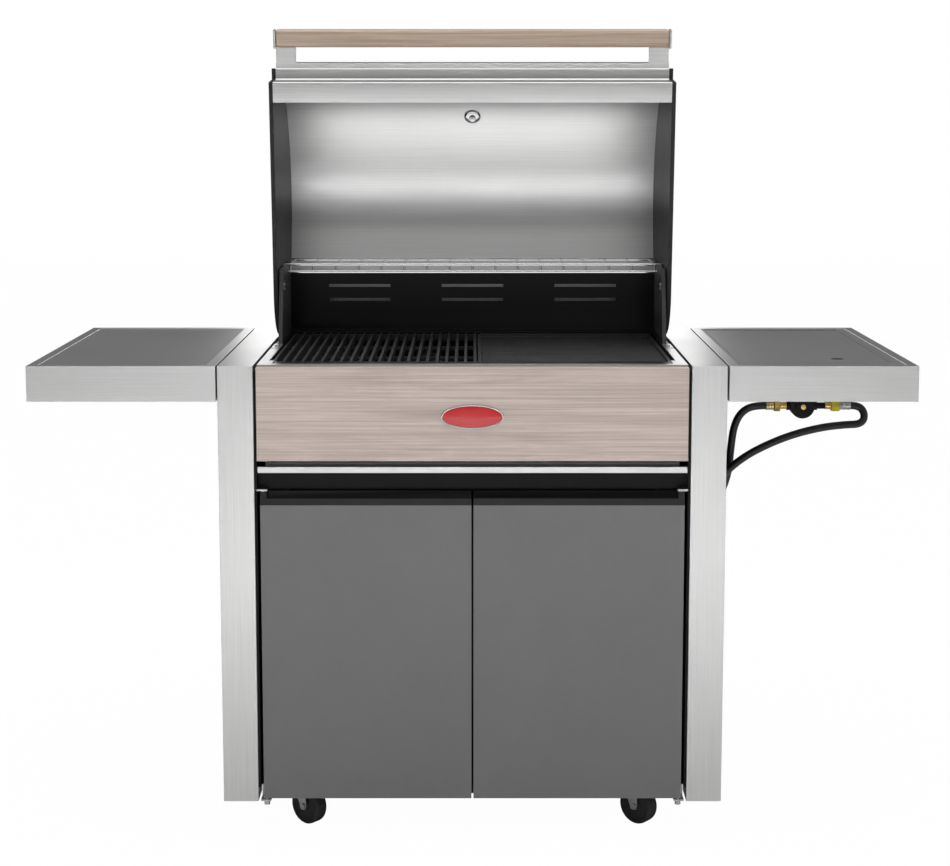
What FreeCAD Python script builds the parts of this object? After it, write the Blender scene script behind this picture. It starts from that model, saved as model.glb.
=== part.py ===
"""Gas barbecue grill on a trolley with two side shelves, shown with its hood open.

Every separate piece is its own node. Lengths are millimetres. The design frame has X across the
grill, Y from the front plane of the doors towards the back and Z up from the floor; the parts are
moved at the end so that the origin stands under the middle of the open grill.
"""
import FreeCAD, Part
import math
import os

V = FreeCAD.Vector
os.makedirs("parts", exist_ok=True)

# ---------------------------------------------------------------- driving dimensions
BODY_HALF = 399.0            # half of the clear width between the cabinet's side walls
WALL_DEPTH = 4.5             # folded depth of a cabinet side wall
POST_WIDTH = 65.5            # visible width of a side frame's leg
POST_DEPTH = 58.0            # a leg, front to back
FRAME_DEPTH = 620.0          # side frames and shelves, front to back
WORKTOP = 900.0              # top of the side frames, shelves and cooktop
BODY_BACK = FRAME_DEPTH - 20.0
WHEEL_RADIUS = 36.0
CHASSIS = 2 * WHEEL_RADIUS + 24.0   # underside of the chassis floor
POST_FOOT = CHASSIS - 25.0   # underside of the legs
SHEET = 1.5                  # folded sheet thickness
FLOOR_SHEET = 2.0            # chassis floor
SHELF_WIDTH = 348.0          # one side shelf, across
SHELF_HEIGHT = 66.0          # rim height of a side shelf
SHELF_GAP = 3.0              # dark joint between a side frame and its shelf
SHELF_RIM = 19.0             # top rim round a shelf's inset panel
DOOR_THICKNESS = 20.0
DOOR_FOOT = CHASSIS - 19.0   # underside of the doors
DOOR_TOP = WORKTOP - 260.0
DOOR_SIDE_GAP = 6.0          # door edge to cabinet side wall
DOOR_MIDDLE_GAP = 3.7        # between the two doors
GRIP_HEIGHT = 25.0           # recessed pull along the top of a door
FASCIA_THICKNESS = 18.0
FASCIA_FOOT = WORKTOP - 177.0
FASCIA_TOP = WORKTOP - 3.0
BADGE_Z = WORKTOP - 94.0
KNOB_Z = WORKTOP - 92.0
TRAY_FOOT = WORKTOP - 199.0  # underside of the grease tray
TRAY_HEIGHT = 15.0
TRAY_LIP = 11.0              # height of the tray's bright front bar
COOK_FRONT = 82.0            # cooking opening, front edge
COOK_BACK = BODY_BACK - 30.0   # cooking opening, back edge
COOK_HALF = BODY_HALF - 18.0   # half width of the cooking opening
LIP_FRONT = 20.0             # bright strip along the cooktop's front edge
LIP_BACK = 36.0
PLATE_SPLIT = 9.5            # X of the joint between grill plate and hotplate
PLATE_GAP = 2.0              # plate to opening
PLATE_SEAT = WORKTOP - 21.0  # top of the ledges that carry the plates
FIREBOX_FOOT = WORKTOP - 160.0
BURNER_Z = WORKTOP - 100.0
TAMER_EDGE = WORKTOP - 65.0  # upper side of a flame cover's edges
TAMER_RISE = 23.0
GRILL_BARS = 22
RACK_WIRES = 17
BURNER_PITCH = (COOK_HALF - 1.0) / 2
BURNER_PLACES = [(number - 1.5) * BURNER_PITCH for number in range(4)]
KNOB_PLACES = (-300.0, -150.0, 0.0, 150.0, 300.0)
KNOB_RADIUS = 21.0
BACK_SHEET = 2.0             # cabinet back and back wall
BACK_WALL_TOP = WORKTOP + 122.0
CHEEK_TOP = WORKTOP + 147.0
CHEEK_WIDTH = 8.0
CHEEK_FRONT = BODY_BACK - 255.0   # foot of a cheek's sloping front edge
VENT_PITCH = 242.0           # between the middles of the back wall's vents
CHEEK_GAP = 2.5              # cheek to hood end
PIVOT_Y = BODY_BACK - 135.0  # hood pivot
PIVOT_Z = WORKTOP + 105.0
HOOD_OPEN_ANGLE = 84.0       # turned up from closed
HOOD_SIDE = 8.0              # thickness of a hood end casting
HOOD_HALF = BODY_HALF + 3.0  # half of the hood's overall width
HOOD_LIP_Y = 36.0
HOOD_LIP_Z = WORKTOP + 5.0
HOOD_LIP_FLANGE = 40.0
HOOD_LEDGE_Z = WORKTOP + 68.0
HOOD_NOSE_Y = 14.0
HOOD_RADIUS = 286.0          # the hood's curved front
HOOD_CURVE_END = 106.5       # degrees round the curve, where the flat back starts
HOOD_REAR_Y = BODY_BACK - 38.0
HOOD_REAR_Z = WORKTOP + 268.0
HOOD_SWING_RADIUS = 100.0    # rounded lower rear corner of the end castings
HANDLE_FOOT = WORKTOP + 72.0   # with the hood closed
HANDLE_DEPTH = 35.0
HANDLE_HEIGHT = 30.0
HANDLE_BACK_Y = -27.0        # face of the bar nearest the hood, with the hood closed
GAUGE_ANGLE = 54.0           # degrees round the hood's curve
CASTER_X = BODY_HALF - 81.0
CASTER_SHIFT = -8.0          # the casters' mounting rails stand a little to the left
CASTER_FRONT_Y = 88.0
CASTER_BACK_Y = BODY_BACK - 64.0
CASTER_YAW = -40.0           # degrees the casters have turned from +X at rest
CASTER_TRAIL = 14.0
WHEEL_WIDTH = 26.0
HOSE_RADIUS = 7.5
GAS_Y = 280.0                # line of the regulator and its fittings
GAS_Z = WORKTOP - 117.0
RUNNING = 0.05               # radial clearance of a pin in its hole
SEAT_GAP = 0.3               # what lies loosely on a seat
PIN_RADIUS = 4.0

# ---------------------------------------------------------------- derived places
FRAME_INNER = BODY_HALF + WALL_DEPTH
FRAME_OUTER = FRAME_INNER + POST_WIDTH
SHELF_INNER = FRAME_OUTER + SHELF_GAP
SHELF_OUTER = SHELF_INNER + SHELF_WIDTH
SHELF_FOOT = WORKTOP - SHELF_HEIGHT
PANEL_TOP = WORKTOP - 1.0
PANEL_THICKNESS = 5.0
COOKTOP_PLATE = 8.0
COOKTOP_FOOT = WORKTOP - 2.0 - COOKTOP_PLATE
COOKTOP_TOP = WORKTOP - 2.0
CABINET_TOP = COOKTOP_FOOT - 2.0
DOOR_HALF = BODY_HALF - DOOR_SIDE_GAP
GRIP_TOP = DOOR_TOP + GRIP_HEIGHT
HOOD_CENTRE = (HOOD_NOSE_Y + HOOD_RADIUS, WORKTOP + 57.0)
HOOD_INNER = HOOD_HALF - HOOD_SIDE
CHEEK_OUTER = HOOD_INNER - CHEEK_GAP
CABINET_FRONT = DOOR_THICKNESS + 4.0
GAS_MIDDLE_X = SHELF_INNER + 183.0
HINGE_X = DOOR_HALF - 5.0
HINGE_Y = 6.0
FASCIA_HINGE = (7.0, FASCIA_FOOT + 7.0)
COVER_X0 = SHELF_INNER + 26.0
COVER_X1 = SHELF_OUTER - 41.0
COVER_FRONT = 60.0
COVER_BACK = FRAME_DEPTH - 44.0
COVER_AXIS_Y = COVER_BACK + 6.5
COVER_AXIS_Z = PANEL_TOP - 5.0

nodes = {}


# ---------------------------------------------------------------- shape helpers
def box(x0, x1, y0, y1, z0, z1):
    """A block between two corners."""
    return Part.makeBox(x1 - x0, y1 - y0, z1 - z0, V(x0, y0, z0))


def rod(start, direction, length, radius):
    """A round bar from a point along a direction."""
    return Part.makeCylinder(radius, length, V(*start), V(*direction))


def prism(outline, x0, x1):
    """A slab across X from a closed list of (y, z) corners."""
    corners = [V(x0, y, z) for y, z in outline]
    face = Part.Face(Part.makePolygon(corners + corners[:1]))
    return face.extrude(V(x1 - x0, 0, 0))


def join(shapes):
    """One solid from shapes that meet."""
    shapes = list(shapes)
    return shapes[0].fuse(shapes[1:]).removeSplitter()


def group(shapes):
    """Separate solids kept together in one node."""
    return Part.makeCompound([solid for shape in shapes for solid in shape.Solids])


def mirrored(shape):
    """The same piece on the other side of the grill."""
    return shape.mirror(V(0, 0, 0), V(1, 0, 0))


def both_sides(shape):
    """A left and right pair as two solids."""
    return group([mirrored(shape), shape])


def open_hood(shape):
    """A hood piece drawn closed, turned up about the pivot to where it rests open."""
    turned = shape.copy()
    turned.rotate(V(0, PIVOT_Y, PIVOT_Z), V(1, 0, 0), -HOOD_OPEN_ANGLE)
    return turned


def hexagon(x0, x1, across_flats):
    """A hexagonal nut on the gas line, between two places along X."""
    corner = across_flats / math.sqrt(3.0)
    outline = []
    for step in range(6):
        turn = math.radians(60 * step)
        outline.append((GAS_Y + corner * math.sin(turn), GAS_Z + corner * math.cos(turn)))
    return prism(outline, x0, x1)


def hose_tube(points, radius, name):
    """A round hose along straight runs joined by tangent arcs."""
    points = [V(*point) for point in points]
    edges = []
    start = points[0]
    for before, corner, after in zip(points, points[1:], points[2:]):
        run_in = corner - before
        run_out = after - corner
        turn = run_in.getAngle(run_out)
        cut = 0.45 * min(run_in.Length, run_out.Length)
        arc_radius = cut / math.tan(turn / 2)
        arc_start = corner - V(run_in).normalize() * cut
        arc_end = corner + V(run_out).normalize() * cut
        towards = (V(run_out).normalize() - V(run_in).normalize()).normalize()
        middle = corner + towards * (arc_radius / math.cos(turn / 2) - arc_radius)
        edges.append(Part.LineSegment(start, arc_start).toShape())
        edges.append(Part.Arc(arc_start, middle, arc_end).toShape())
        print(f"{name}: turn {math.degrees(turn):.1f} degrees, radius {arc_radius:.1f} mm")
        start = arc_end
    edges.append(Part.LineSegment(start, points[-1]).toShape())
    path = Part.Wire(edges)
    ring = Part.Wire(Part.makeCircle(radius, points[0], points[1] - points[0]))
    tube = path.makePipeShell([ring], True, False)
    expected = math.pi * radius ** 2 * path.Length
    print(f"{name}: length {path.Length:.1f} mm, volume over expected {tube.Volume / expected:.5f}")
    return tube


# ---------------------------------------------------------------- trolley
def side_frame():
    """Right side frame: two legs and a top rail folded from one sheet, open underneath."""
    x0 = FRAME_INNER
    x1 = FRAME_OUTER
    rail_foot = WORKTOP - 40.0
    legs = [(0, POST_DEPTH), (FRAME_DEPTH - POST_DEPTH, FRAME_DEPTH)]
    outer = join([box(x0, x1, y0, y1, POST_FOOT, WORKTOP) for y0, y1 in legs]
                 + [box(x0, x1, 0, FRAME_DEPTH, rail_foot, WORKTOP)])
    hollows = [box(x0 + SHEET, x1 - SHEET, y0 + SHEET, y1 - SHEET, POST_FOOT - 1, WORKTOP - SHEET)
               for y0, y1 in legs]
    hollows.append(box(x0 + SHEET, x1 - SHEET, SHEET, FRAME_DEPTH - SHEET,
                       rail_foot + SHEET, WORKTOP - SHEET))
    return outer.cut(join(hollows))


def side_panel():
    """Dark panel that closes the outer side between the legs."""
    return box(FRAME_OUTER - 11, FRAME_OUTER - 9, POST_DEPTH, FRAME_DEPTH - POST_DEPTH,
               CHASSIS, WORKTOP - 40)


GROMMET_PLACE = (282.0, 588.0)
GROMMET_RADIUS = 32.0


def side_panel_with_hole():
    """The right side panel has the hole for the gas hoses."""
    hole = rod((FRAME_OUTER - 20, *GROMMET_PLACE), (1, 0, 0), 20, GROMMET_RADIUS)
    return side_panel().cut(hole)


def grommet():
    """Rubber disc with a rim on both sides of the side panel."""
    x0 = FRAME_OUTER - 11
    plug = rod((x0, *GROMMET_PLACE), (1, 0, 0), 2, GROMMET_RADIUS)
    rims = [rod((x, *GROMMET_PLACE), (1, 0, 0), 3, GROMMET_RADIUS + 4) for x in (x0 - 3, x0 + 2)]
    return join([plug] + rims)


def cabinet_side():
    """Side wall with its edges folded outwards, the tray's runner and the fascia's hinge pin."""
    wall = box(BODY_HALF, FRAME_INNER, 6, BODY_BACK, CHASSIS, CABINET_TOP)
    wall = wall.cut(box(BODY_HALF + SHEET, FRAME_INNER + 1, 6 + SHEET, BODY_BACK - SHEET,
                        CHASSIS + SHEET, CABINET_TOP - SHEET))
    runner = box(BODY_HALF - 11, BODY_HALF + 1, 60, BODY_BACK - 30,
                 TRAY_FOOT + TRAY_HEIGHT - 5, TRAY_FOOT + TRAY_HEIGHT - 2)
    pin = rod((BODY_HALF - 9, *FASCIA_HINGE), (1, 0, 0), 10, PIN_RADIUS)
    return join([wall, runner, pin])


def crossbar():
    """Folded bar across the front above the doors, open at its back."""
    front = CABINET_FRONT
    bar = box(-BODY_HALF, BODY_HALF, front, front + 20, GRIP_TOP, TRAY_FOOT - 1)
    return bar.cut(box(-BODY_HALF + SHEET, BODY_HALF - SHEET, front + SHEET, front + 21,
                       GRIP_TOP + SHEET, TRAY_FOOT - 1 - SHEET))


nodes["side_frame_right"] = side_frame()
nodes["side_frame_left"] = mirrored(side_frame())
nodes["side_panels"] = group([mirrored(side_panel()), side_panel_with_hole()])
nodes["hose_grommet"] = grommet()
nodes["cabinet_sides"] = both_sides(cabinet_side())
nodes["cabinet_back"] = box(-BODY_HALF, BODY_HALF, BODY_BACK - BACK_SHEET, BODY_BACK,
                            CHASSIS, CABINET_TOP)
nodes["chassis_floor"] = box(-BODY_HALF, BODY_HALF, CABINET_FRONT, BODY_BACK - BACK_SHEET,
                             CHASSIS, CHASSIS + FLOOR_SHEET)
nodes["front_crossbar"] = crossbar()
nodes["control_panel"] = box(-BODY_HALF, BODY_HALF, 62, 64, FASCIA_FOOT + 2, CABINET_TOP)


# ---------------------------------------------------------------- doors
def door_right():
    """Folded door pan, open at the back, with solid blocks where the hinge pins run."""
    x0 = DOOR_MIDDLE_GAP / 2
    pan = box(x0, DOOR_HALF, 0, DOOR_THICKNESS, DOOR_FOOT, DOOR_TOP)
    pan = pan.cut(box(x0 + SHEET, DOOR_HALF - SHEET, SHEET, DOOR_THICKNESS + 1,
                      DOOR_FOOT + SHEET, DOOR_TOP - SHEET))
    block = box(DOOR_HALF - 14, DOOR_HALF, 0, DOOR_THICKNESS, DOOR_FOOT, DOOR_FOOT + 20)
    pin_hole = rod((HINGE_X, HINGE_Y, DOOR_FOOT - 1), (0, 0, 1), 17, PIN_RADIUS + RUNNING)
    return join([pan, block]).cut(pin_hole)


def door_grip_right():
    """Pull strip along the door's top, hollowed for the fingers."""
    x0 = DOOR_MIDDLE_GAP / 2
    outline = [(0, DOOR_TOP), (DOOR_THICKNESS, DOOR_TOP), (DOOR_THICKNESS, GRIP_TOP),
               (15, GRIP_TOP), (12, DOOR_TOP + 12), (5, DOOR_TOP + 8), (3, DOOR_TOP + 13),
               (0, DOOR_TOP + 13)]
    strip = prism(outline, x0, DOOR_HALF)
    block = box(DOOR_HALF - 12, DOOR_HALF, 0, DOOR_THICKNESS, DOOR_TOP, GRIP_TOP)
    pin_hole = rod((HINGE_X, HINGE_Y, GRIP_TOP - 14), (0, 0, 1), 15, PIN_RADIUS + RUNNING)
    return join([strip, block]).cut(pin_hole)


def door_hinge_right():
    """Lower and upper hinge brackets with their pins."""
    foot = join([box(HINGE_X - 8, BODY_HALF, 0, CABINET_FRONT + 6, POST_FOOT + 0.5, POST_FOOT + 3.5),
                 box(HINGE_X - 8, BODY_HALF, CABINET_FRONT, CABINET_FRONT + 6, POST_FOOT + 0.5, CHASSIS),
                 rod((HINGE_X, HINGE_Y, POST_FOOT - 7), (0, 0, 1), 26, PIN_RADIUS),
                 rod((HINGE_X, HINGE_Y, POST_FOOT - 7), (0, 0, 1), 7.5, PIN_RADIUS + 1.5)])
    head = join([box(HINGE_X - 8, BODY_HALF, 0, CABINET_FRONT, GRIP_TOP + 2, GRIP_TOP + 5),
                 rod((HINGE_X, HINGE_Y, GRIP_TOP - 12), (0, 0, 1), 17, PIN_RADIUS)])
    return group([foot, head])


nodes["door_right"] = door_right()
nodes["door_left"] = mirrored(door_right())
nodes["door_grip_right"] = door_grip_right()
nodes["door_grip_left"] = mirrored(door_grip_right())
nodes["door_hinges"] = both_sides(door_hinge_right())


# ---------------------------------------------------------------- casters
def caster_pieces(x, y, yaw):
    """Top plate, fork and wheel of one swivel caster.

    The fork is drawn with its trail along +X and then turned about its king pin.
    """
    plate_foot = CHASSIS - 4
    race_foot = plate_foot - 7
    crown_top = race_foot - SEAT_GAP
    axle_z = WHEEL_RADIUS
    plate = join([box(-30, 30, -30, 30, plate_foot, CHASSIS),
                  rod((0, 0, race_foot), (0, 0, 1), 7.5, 20),
                  rod((0, 0, crown_top - 10), (0, 0, 1), 12, 5)])
    leg_outline = [(-15, crown_top), (19, crown_top), (CASTER_TRAIL + 9, axle_z + 3),
                   (CASTER_TRAIL + 6, axle_z - 6), (CASTER_TRAIL - 6, axle_z - 6),
                   (CASTER_TRAIL - 9, axle_z + 3)]
    half_inside = WHEEL_WIDTH / 2 + 2
    legs = []
    for side in (-1, 1):
        start = half_inside if side > 0 else -half_inside - 2.5
        corners = [V(u, start, z) for u, z in leg_outline]
        leg = Part.Face(Part.makePolygon(corners + corners[:1])).extrude(V(0, 2.5, 0))
        legs.append(leg)
    crown = box(-15, 19, -half_inside - 2.5, half_inside + 2.5, crown_top - 2.5, crown_top)
    crown = join([crown] + legs).cut(rod((0, 0, crown_top - 20), (0, 0, 1), 40, 5 + RUNNING))
    axle = rod((CASTER_TRAIL, -half_inside - 4, axle_z), (0, 1, 0), 2 * half_inside + 8, PIN_RADIUS)
    heads = [rod((CASTER_TRAIL, w, axle_z), (0, 1, 0), 2, 6)
             for w in (-half_inside - 4.5, half_inside + 2.5)]
    fork = join([crown, axle] + heads)
    half = WHEEL_WIDTH / 2
    profile = [(PIN_RADIUS + RUNNING, half + 1.5), (9, half + 1.5), (9, half - 2),
               (WHEEL_RADIUS - 9, half - 3), (WHEEL_RADIUS - 7, half), (WHEEL_RADIUS - 3, half),
               (WHEEL_RADIUS, half - 4)]
    profile += [(radius, -w) for radius, w in reversed(profile)]
    corners = [V(CASTER_TRAIL + radius, w, axle_z) for radius, w in profile]
    wheel = Part.Face(Part.makePolygon(corners + corners[:1]))
    wheel = wheel.revolve(V(CASTER_TRAIL, 0, axle_z), V(0, 1, 0), 360)
    wheel = Part.Solid(wheel.Shells[0]) if not wheel.Solids else wheel.Solids[0]
    pieces = []
    for piece in (plate, fork, wheel):
        piece.rotate(V(0, 0, 0), V(0, 0, 1), yaw)
        piece.translate(V(x, y, 0))
        pieces.append(piece)
    return pieces


plates = []
for place, x, y in (("front_left", -CASTER_X, CASTER_FRONT_Y), ("front_right", CASTER_X, CASTER_FRONT_Y),
                    ("back_left", -CASTER_X, CASTER_BACK_Y), ("back_right", CASTER_X, CASTER_BACK_Y)):
    plate, fork, wheel = caster_pieces(x + CASTER_SHIFT, y, CASTER_YAW)
    plates.append(plate)
    nodes["caster_fork_" + place] = fork
    nodes["caster_wheel_" + place] = wheel
nodes["caster_plates"] = group(plates)


# ---------------------------------------------------------------- fascia, badge, controls
def fascia():
    """Wood-faced flap that hides the controls; it turns on pins in its lower corners."""
    panel = box(-BODY_HALF + 1, BODY_HALF - 1, 0, FASCIA_THICKNESS, FASCIA_FOOT, FASCIA_TOP)
    for start, direction in ((-BODY_HALF, (1, 0, 0)), (BODY_HALF, (-1, 0, 0))):
        hole = rod((start, *FASCIA_HINGE), direction, 10, PIN_RADIUS + RUNNING)
        panel = panel.cut(hole)
    return panel


def oval_plate(half_width, half_height, y0, y1, z):
    """An oval plate facing the front."""
    ring = Part.Ellipse(V(0, 0, 0), half_width, half_height).toShape()
    plate = Part.Face(Part.Wire(ring)).extrude(V(0, 0, y1 - y0))
    plate.rotate(V(0, 0, 0), V(1, 0, 0), 90)
    plate.translate(V(0, y1, z))
    return plate


def badge():
    """Plain oval badge with a raised rim."""
    return oval_plate(58, 23, -3, 0, BADGE_Z).cut(oval_plate(55, 20, -4, -1.5, BADGE_Z))


nodes["badge"] = badge()
nodes["fascia"] = fascia()


def knob(x):
    """Round control knob with a grip bar, bored for the valve's spindle."""
    body = join([rod((x, 34, KNOB_Z), (0, 1, 0), 24, KNOB_RADIUS),
                 box(x - 4.5, x + 4.5, 25, 36, KNOB_Z - KNOB_RADIUS + 3, KNOB_Z + KNOB_RADIUS - 3)])
    return body.cut(rod((x, 42, KNOB_Z), (0, 1, 0), 20, PIN_RADIUS + RUNNING))


def gas_valves():
    """Supply pipe across the front of the firebox with a valve and spindle for each knob."""
    pipe = rod((KNOB_PLACES[0] - 25, 72.5, KNOB_Z - 38), (1, 0, 0),
               KNOB_PLACES[-1] - KNOB_PLACES[0] + 50, 7)
    pieces = [pipe]
    for x in KNOB_PLACES:
        pieces.append(box(x - 10, x + 10, 64, 80, KNOB_Z - 40, KNOB_Z + 12))
        pieces.append(rod((x, 44, KNOB_Z), (0, 1, 0), 21, PIN_RADIUS))
    return join(pieces)


for number, x in enumerate(KNOB_PLACES, start=1):
    nodes[f"knob_{number}"] = knob(x)
nodes["gas_valves"] = gas_valves()
for x in KNOB_PLACES:
    opening = rod((x, 60, KNOB_Z), (0, 1, 0), 6, PIN_RADIUS + 1)
    nodes["control_panel"] = nodes["control_panel"].cut(opening)


# ---------------------------------------------------------------- cooktop
def firebox():
    """Welded tray with a top flange, ledges for the plates and a grease outlet."""
    wall = box(-COOK_HALF - SHEET, COOK_HALF + SHEET, COOK_FRONT - SHEET, COOK_BACK + SHEET,
               FIREBOX_FOOT, CABINET_TOP)
    wall = wall.cut(box(-COOK_HALF, COOK_HALF, COOK_FRONT, COOK_BACK, FIREBOX_FOOT + SHEET, WORKTOP))
    flange = box(-BODY_HALF - 3, BODY_HALF + 3, LIP_BACK, BODY_BACK - BACK_SHEET,
                 CABINET_TOP, COOKTOP_FOOT)
    flange = flange.cut(box(-COOK_HALF, COOK_HALF, COOK_FRONT, COOK_BACK, CABINET_TOP - 1, WORKTOP))
    ledges = [box(-COOK_HALF, COOK_HALF, y0, y1, PLATE_SEAT - 2, PLATE_SEAT)
              for y0, y1 in ((COOK_FRONT, COOK_FRONT + 12), (COOK_BACK - 12, COOK_BACK))]
    outlet = box(-160, 160, 240, 400, FIREBOX_FOOT - 10, FIREBOX_FOOT + 10)
    return join([wall, flange] + ledges).cut(outlet)


def flame_tamer(x):
    """Folded roof over one burner, resting on the firebox's end walls."""
    roof = [(x - 55, TAMER_EDGE), (x, TAMER_EDGE + TAMER_RISE), (x + 55, TAMER_EDGE)]
    outline = [V(u, COOK_FRONT, z) for u, z in roof]
    outline += [V(u, COOK_FRONT, z - 2) for u, z in reversed(roof)]
    face = Part.Face(Part.makePolygon(outline + outline[:1]))
    return face.extrude(V(0, COOK_BACK - COOK_FRONT, 0))


def burner(x):
    """Round burner tube between the firebox's end walls."""
    tube = rod((x, COOK_FRONT, BURNER_Z), (0, 1, 0), COOK_BACK - COOK_FRONT, 14)
    return tube.cut(rod((x, COOK_FRONT - 1, BURNER_Z), (0, 1, 0), COOK_BACK - COOK_FRONT - 48, 12))


def grill_plate():
    """Cast plate of parallel bars tied by end bars and two cross ribs."""
    x0 = -COOK_HALF + PLATE_GAP
    x1 = PLATE_SPLIT - PLATE_GAP / 2
    y0 = COOK_FRONT + PLATE_GAP
    y1 = COOK_BACK - PLATE_GAP
    foot = PLATE_SEAT + SEAT_GAP
    top = foot + 16
    bar = 7.0
    pitch = (x1 - x0 - bar) / (GRILL_BARS - 1)
    pieces = [box(x0, x1, y0, y0 + 9, foot, top - 3), box(x0, x1, y1 - 9, y1, foot, top - 3)]
    pieces += [box(x0, x1, y, y + 8, foot, foot + 6) for y in (y0 + 155, y0 + 315)]
    for number in range(GRILL_BARS):
        left = x0 + number * pitch
        outline = [V(left, y0, foot), V(left + bar, y0, foot), V(left + bar - 0.8, y0, top),
                   V(left + 0.8, y0, top)]
        face = Part.Face(Part.makePolygon(outline + outline[:1]))
        pieces.append(face.extrude(V(0, y1 - y0, 0)))
    return join(pieces)


def hotplate():
    """Cast plate with a raised rim and a drain slot."""
    x0 = PLATE_SPLIT + PLATE_GAP / 2
    x1 = COOK_HALF - PLATE_GAP
    y0 = COOK_FRONT + PLATE_GAP
    y1 = COOK_BACK - PLATE_GAP
    foot = PLATE_SEAT + SEAT_GAP
    plate = box(x0, x1, y0, y1, foot, foot + 14)
    plate = plate.cut(box(x0 + 7, x1 - 7, y0 + 7, y1 - 7, foot + 8, foot + 20))
    return plate.cut(box(x0 + 38, x0 + 72, y0 + 204, y0 + 212, foot - 1, foot + 20))


def cooktop_frame():
    """Black enamelled top frame round the cooking opening."""
    plate = box(-BODY_HALF + 1, BODY_HALF - 1, LIP_BACK, BODY_BACK, COOKTOP_FOOT, COOKTOP_TOP)
    return plate.cut(box(-COOK_HALF, COOK_HALF, COOK_FRONT, COOK_BACK, COOKTOP_FOOT - 1, WORKTOP))


def corner_trim():
    """Bright angle on the cooktop's front corner, with a slotted tab and its screw behind it."""
    x1 = BODY_HALF - 1
    arm = join([box(COOK_HALF - 9, x1, LIP_BACK, COOK_FRONT - 2, COOKTOP_TOP, WORKTOP),
                box(COOK_HALF, x1, LIP_BACK, CHEEK_FRONT - 83, COOKTOP_TOP, WORKTOP)])
    tab = box(COOK_HALF, x1, CHEEK_FRONT - 73, CHEEK_FRONT - 9, COOKTOP_TOP, WORKTOP)
    screw = rod((COOK_HALF + 8, CHEEK_FRONT - 45, WORKTOP), (0, 0, 1), 2.5, 5)
    return group([arm, join([tab, screw])])


def front_lip():
    """Bright strip along the cooktop's front edge."""
    return box(-BODY_HALF + 1, BODY_HALF - 1, LIP_FRONT, LIP_BACK, COOKTOP_FOOT, WORKTOP)


nodes["firebox"] = firebox()
nodes["flame_tamers"] = group([flame_tamer(x) for x in BURNER_PLACES])
nodes["burners"] = group([burner(x) for x in BURNER_PLACES])
nodes["grill_plate"] = grill_plate()
nodes["hotplate"] = hotplate()
nodes["cooktop_frame"] = cooktop_frame()
nodes["cooktop_trims"] = group([front_lip(), both_sides(corner_trim())])


# ---------------------------------------------------------------- back wall, cheeks, rack
def cheek():
    """Side upright that carries the hood's pivot and the warming rack."""
    x1 = CHEEK_OUTER
    x0 = x1 - CHEEK_WIDTH
    back = BODY_BACK - BACK_SHEET
    front_foot = (CHEEK_FRONT, COOKTOP_TOP)
    front_top = (CHEEK_FRONT + 40, CHEEK_TOP)
    outline = [front_foot, front_top, (back, CHEEK_TOP - 10), (back, COOKTOP_TOP)]
    inside = [(front_foot[0] + 2, COOKTOP_TOP - 1), (front_top[0] + 2, CHEEK_TOP + 1),
              (BODY_BACK, CHEEK_TOP + 1), (BODY_BACK, COOKTOP_TOP - 1)]
    side = prism(outline, x0, x1).cut(prism(inside, x0 - 1, x1 - SHEET))
    rest = box(x1 - SHEET, x1, BODY_BACK - 170, back - 1, CHEEK_TOP - 9.6, CHEEK_TOP)
    side = join([side, rest])
    return side.cut(rod((x0 - 1, PIVOT_Y, PIVOT_Z), (1, 0, 0), 12, PIN_RADIUS + RUNNING))


def back_wall():
    """Upright black wall with three pairs of vent slots."""
    half = CHEEK_OUTER
    back = BODY_BACK - BACK_SHEET
    wall = box(-half, half, back, BODY_BACK, COOKTOP_TOP, BACK_WALL_TOP)
    for x in (-VENT_PITCH, 0, VENT_PITCH):
        for z in (BACK_WALL_TOP - 58.5, BACK_WALL_TOP - 28.5):
            wall = wall.cut(box(x - 66, x + 66, back - 1, BODY_BACK + 1, z - 3, z + 3))
    return join([wall, box(-half, half, back - 12, back, COOKTOP_TOP, COOKTOP_TOP + SHEET)])


def wire(start, end, radius):
    """A straight round wire between two points."""
    span = V(*end) - V(*start)
    return Part.makeCylinder(radius, span.Length, V(*start), span)


def warming_rack():
    """Wire rack: three long rails and cross wires, lying on the cheeks' tops."""
    z = CHEEK_TOP + 3 + SEAT_GAP
    reach = CHEEK_OUTER + 0.3
    inner_reach = CHEEK_OUTER - CHEEK_WIDTH - 3
    front = BODY_BACK - 139
    back = BODY_BACK - 10
    pieces = [wire((-reach, front, z), (reach, front, z), 3),
              wire((-reach, back, z), (reach, back, z), 3),
              wire((-inner_reach, front, z - 15), (inner_reach, front, z - 15), 3)]
    for number in range(RACK_WIRES):
        x = -inner_reach + 4 + number * (2 * inner_reach - 8) / (RACK_WIRES - 1)
        pieces.append(wire((x, front, z), (x, back, z), 2))
        pieces.append(wire((x, front, z), (x, front, z - 15), 2))
    return join(pieces)


def pivot_bolt():
    """Headed bolt through a cheek and the hood's end casting, with a cap nut outside."""
    x0 = CHEEK_OUTER - SHEET - 3
    return join([rod((x0, PIVOT_Y, PIVOT_Z), (1, 0, 0), 3, 8),
                 rod((x0, PIVOT_Y, PIVOT_Z), (1, 0, 0), HOOD_HALF + 1 - x0, PIN_RADIUS),
                 rod((HOOD_HALF + SEAT_GAP, PIVOT_Y, PIVOT_Z), (1, 0, 0), 4, 8)])


nodes["cheeks"] = both_sides(cheek())
nodes["back_wall"] = back_wall().cut(both_sides(cheek()))
nodes["warming_rack"] = warming_rack()
nodes["hood_pivot_bolts"] = both_sides(pivot_bolt())


# ---------------------------------------------------------------- hood, drawn closed
def curve_point(angle, radius):
    """A place round the hood's curved front; 0 degrees faces forward."""
    turn = math.radians(angle)
    return (HOOD_CENTRE[0] - radius * math.cos(turn), HOOD_CENTRE[1] + radius * math.sin(turn))


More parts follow.
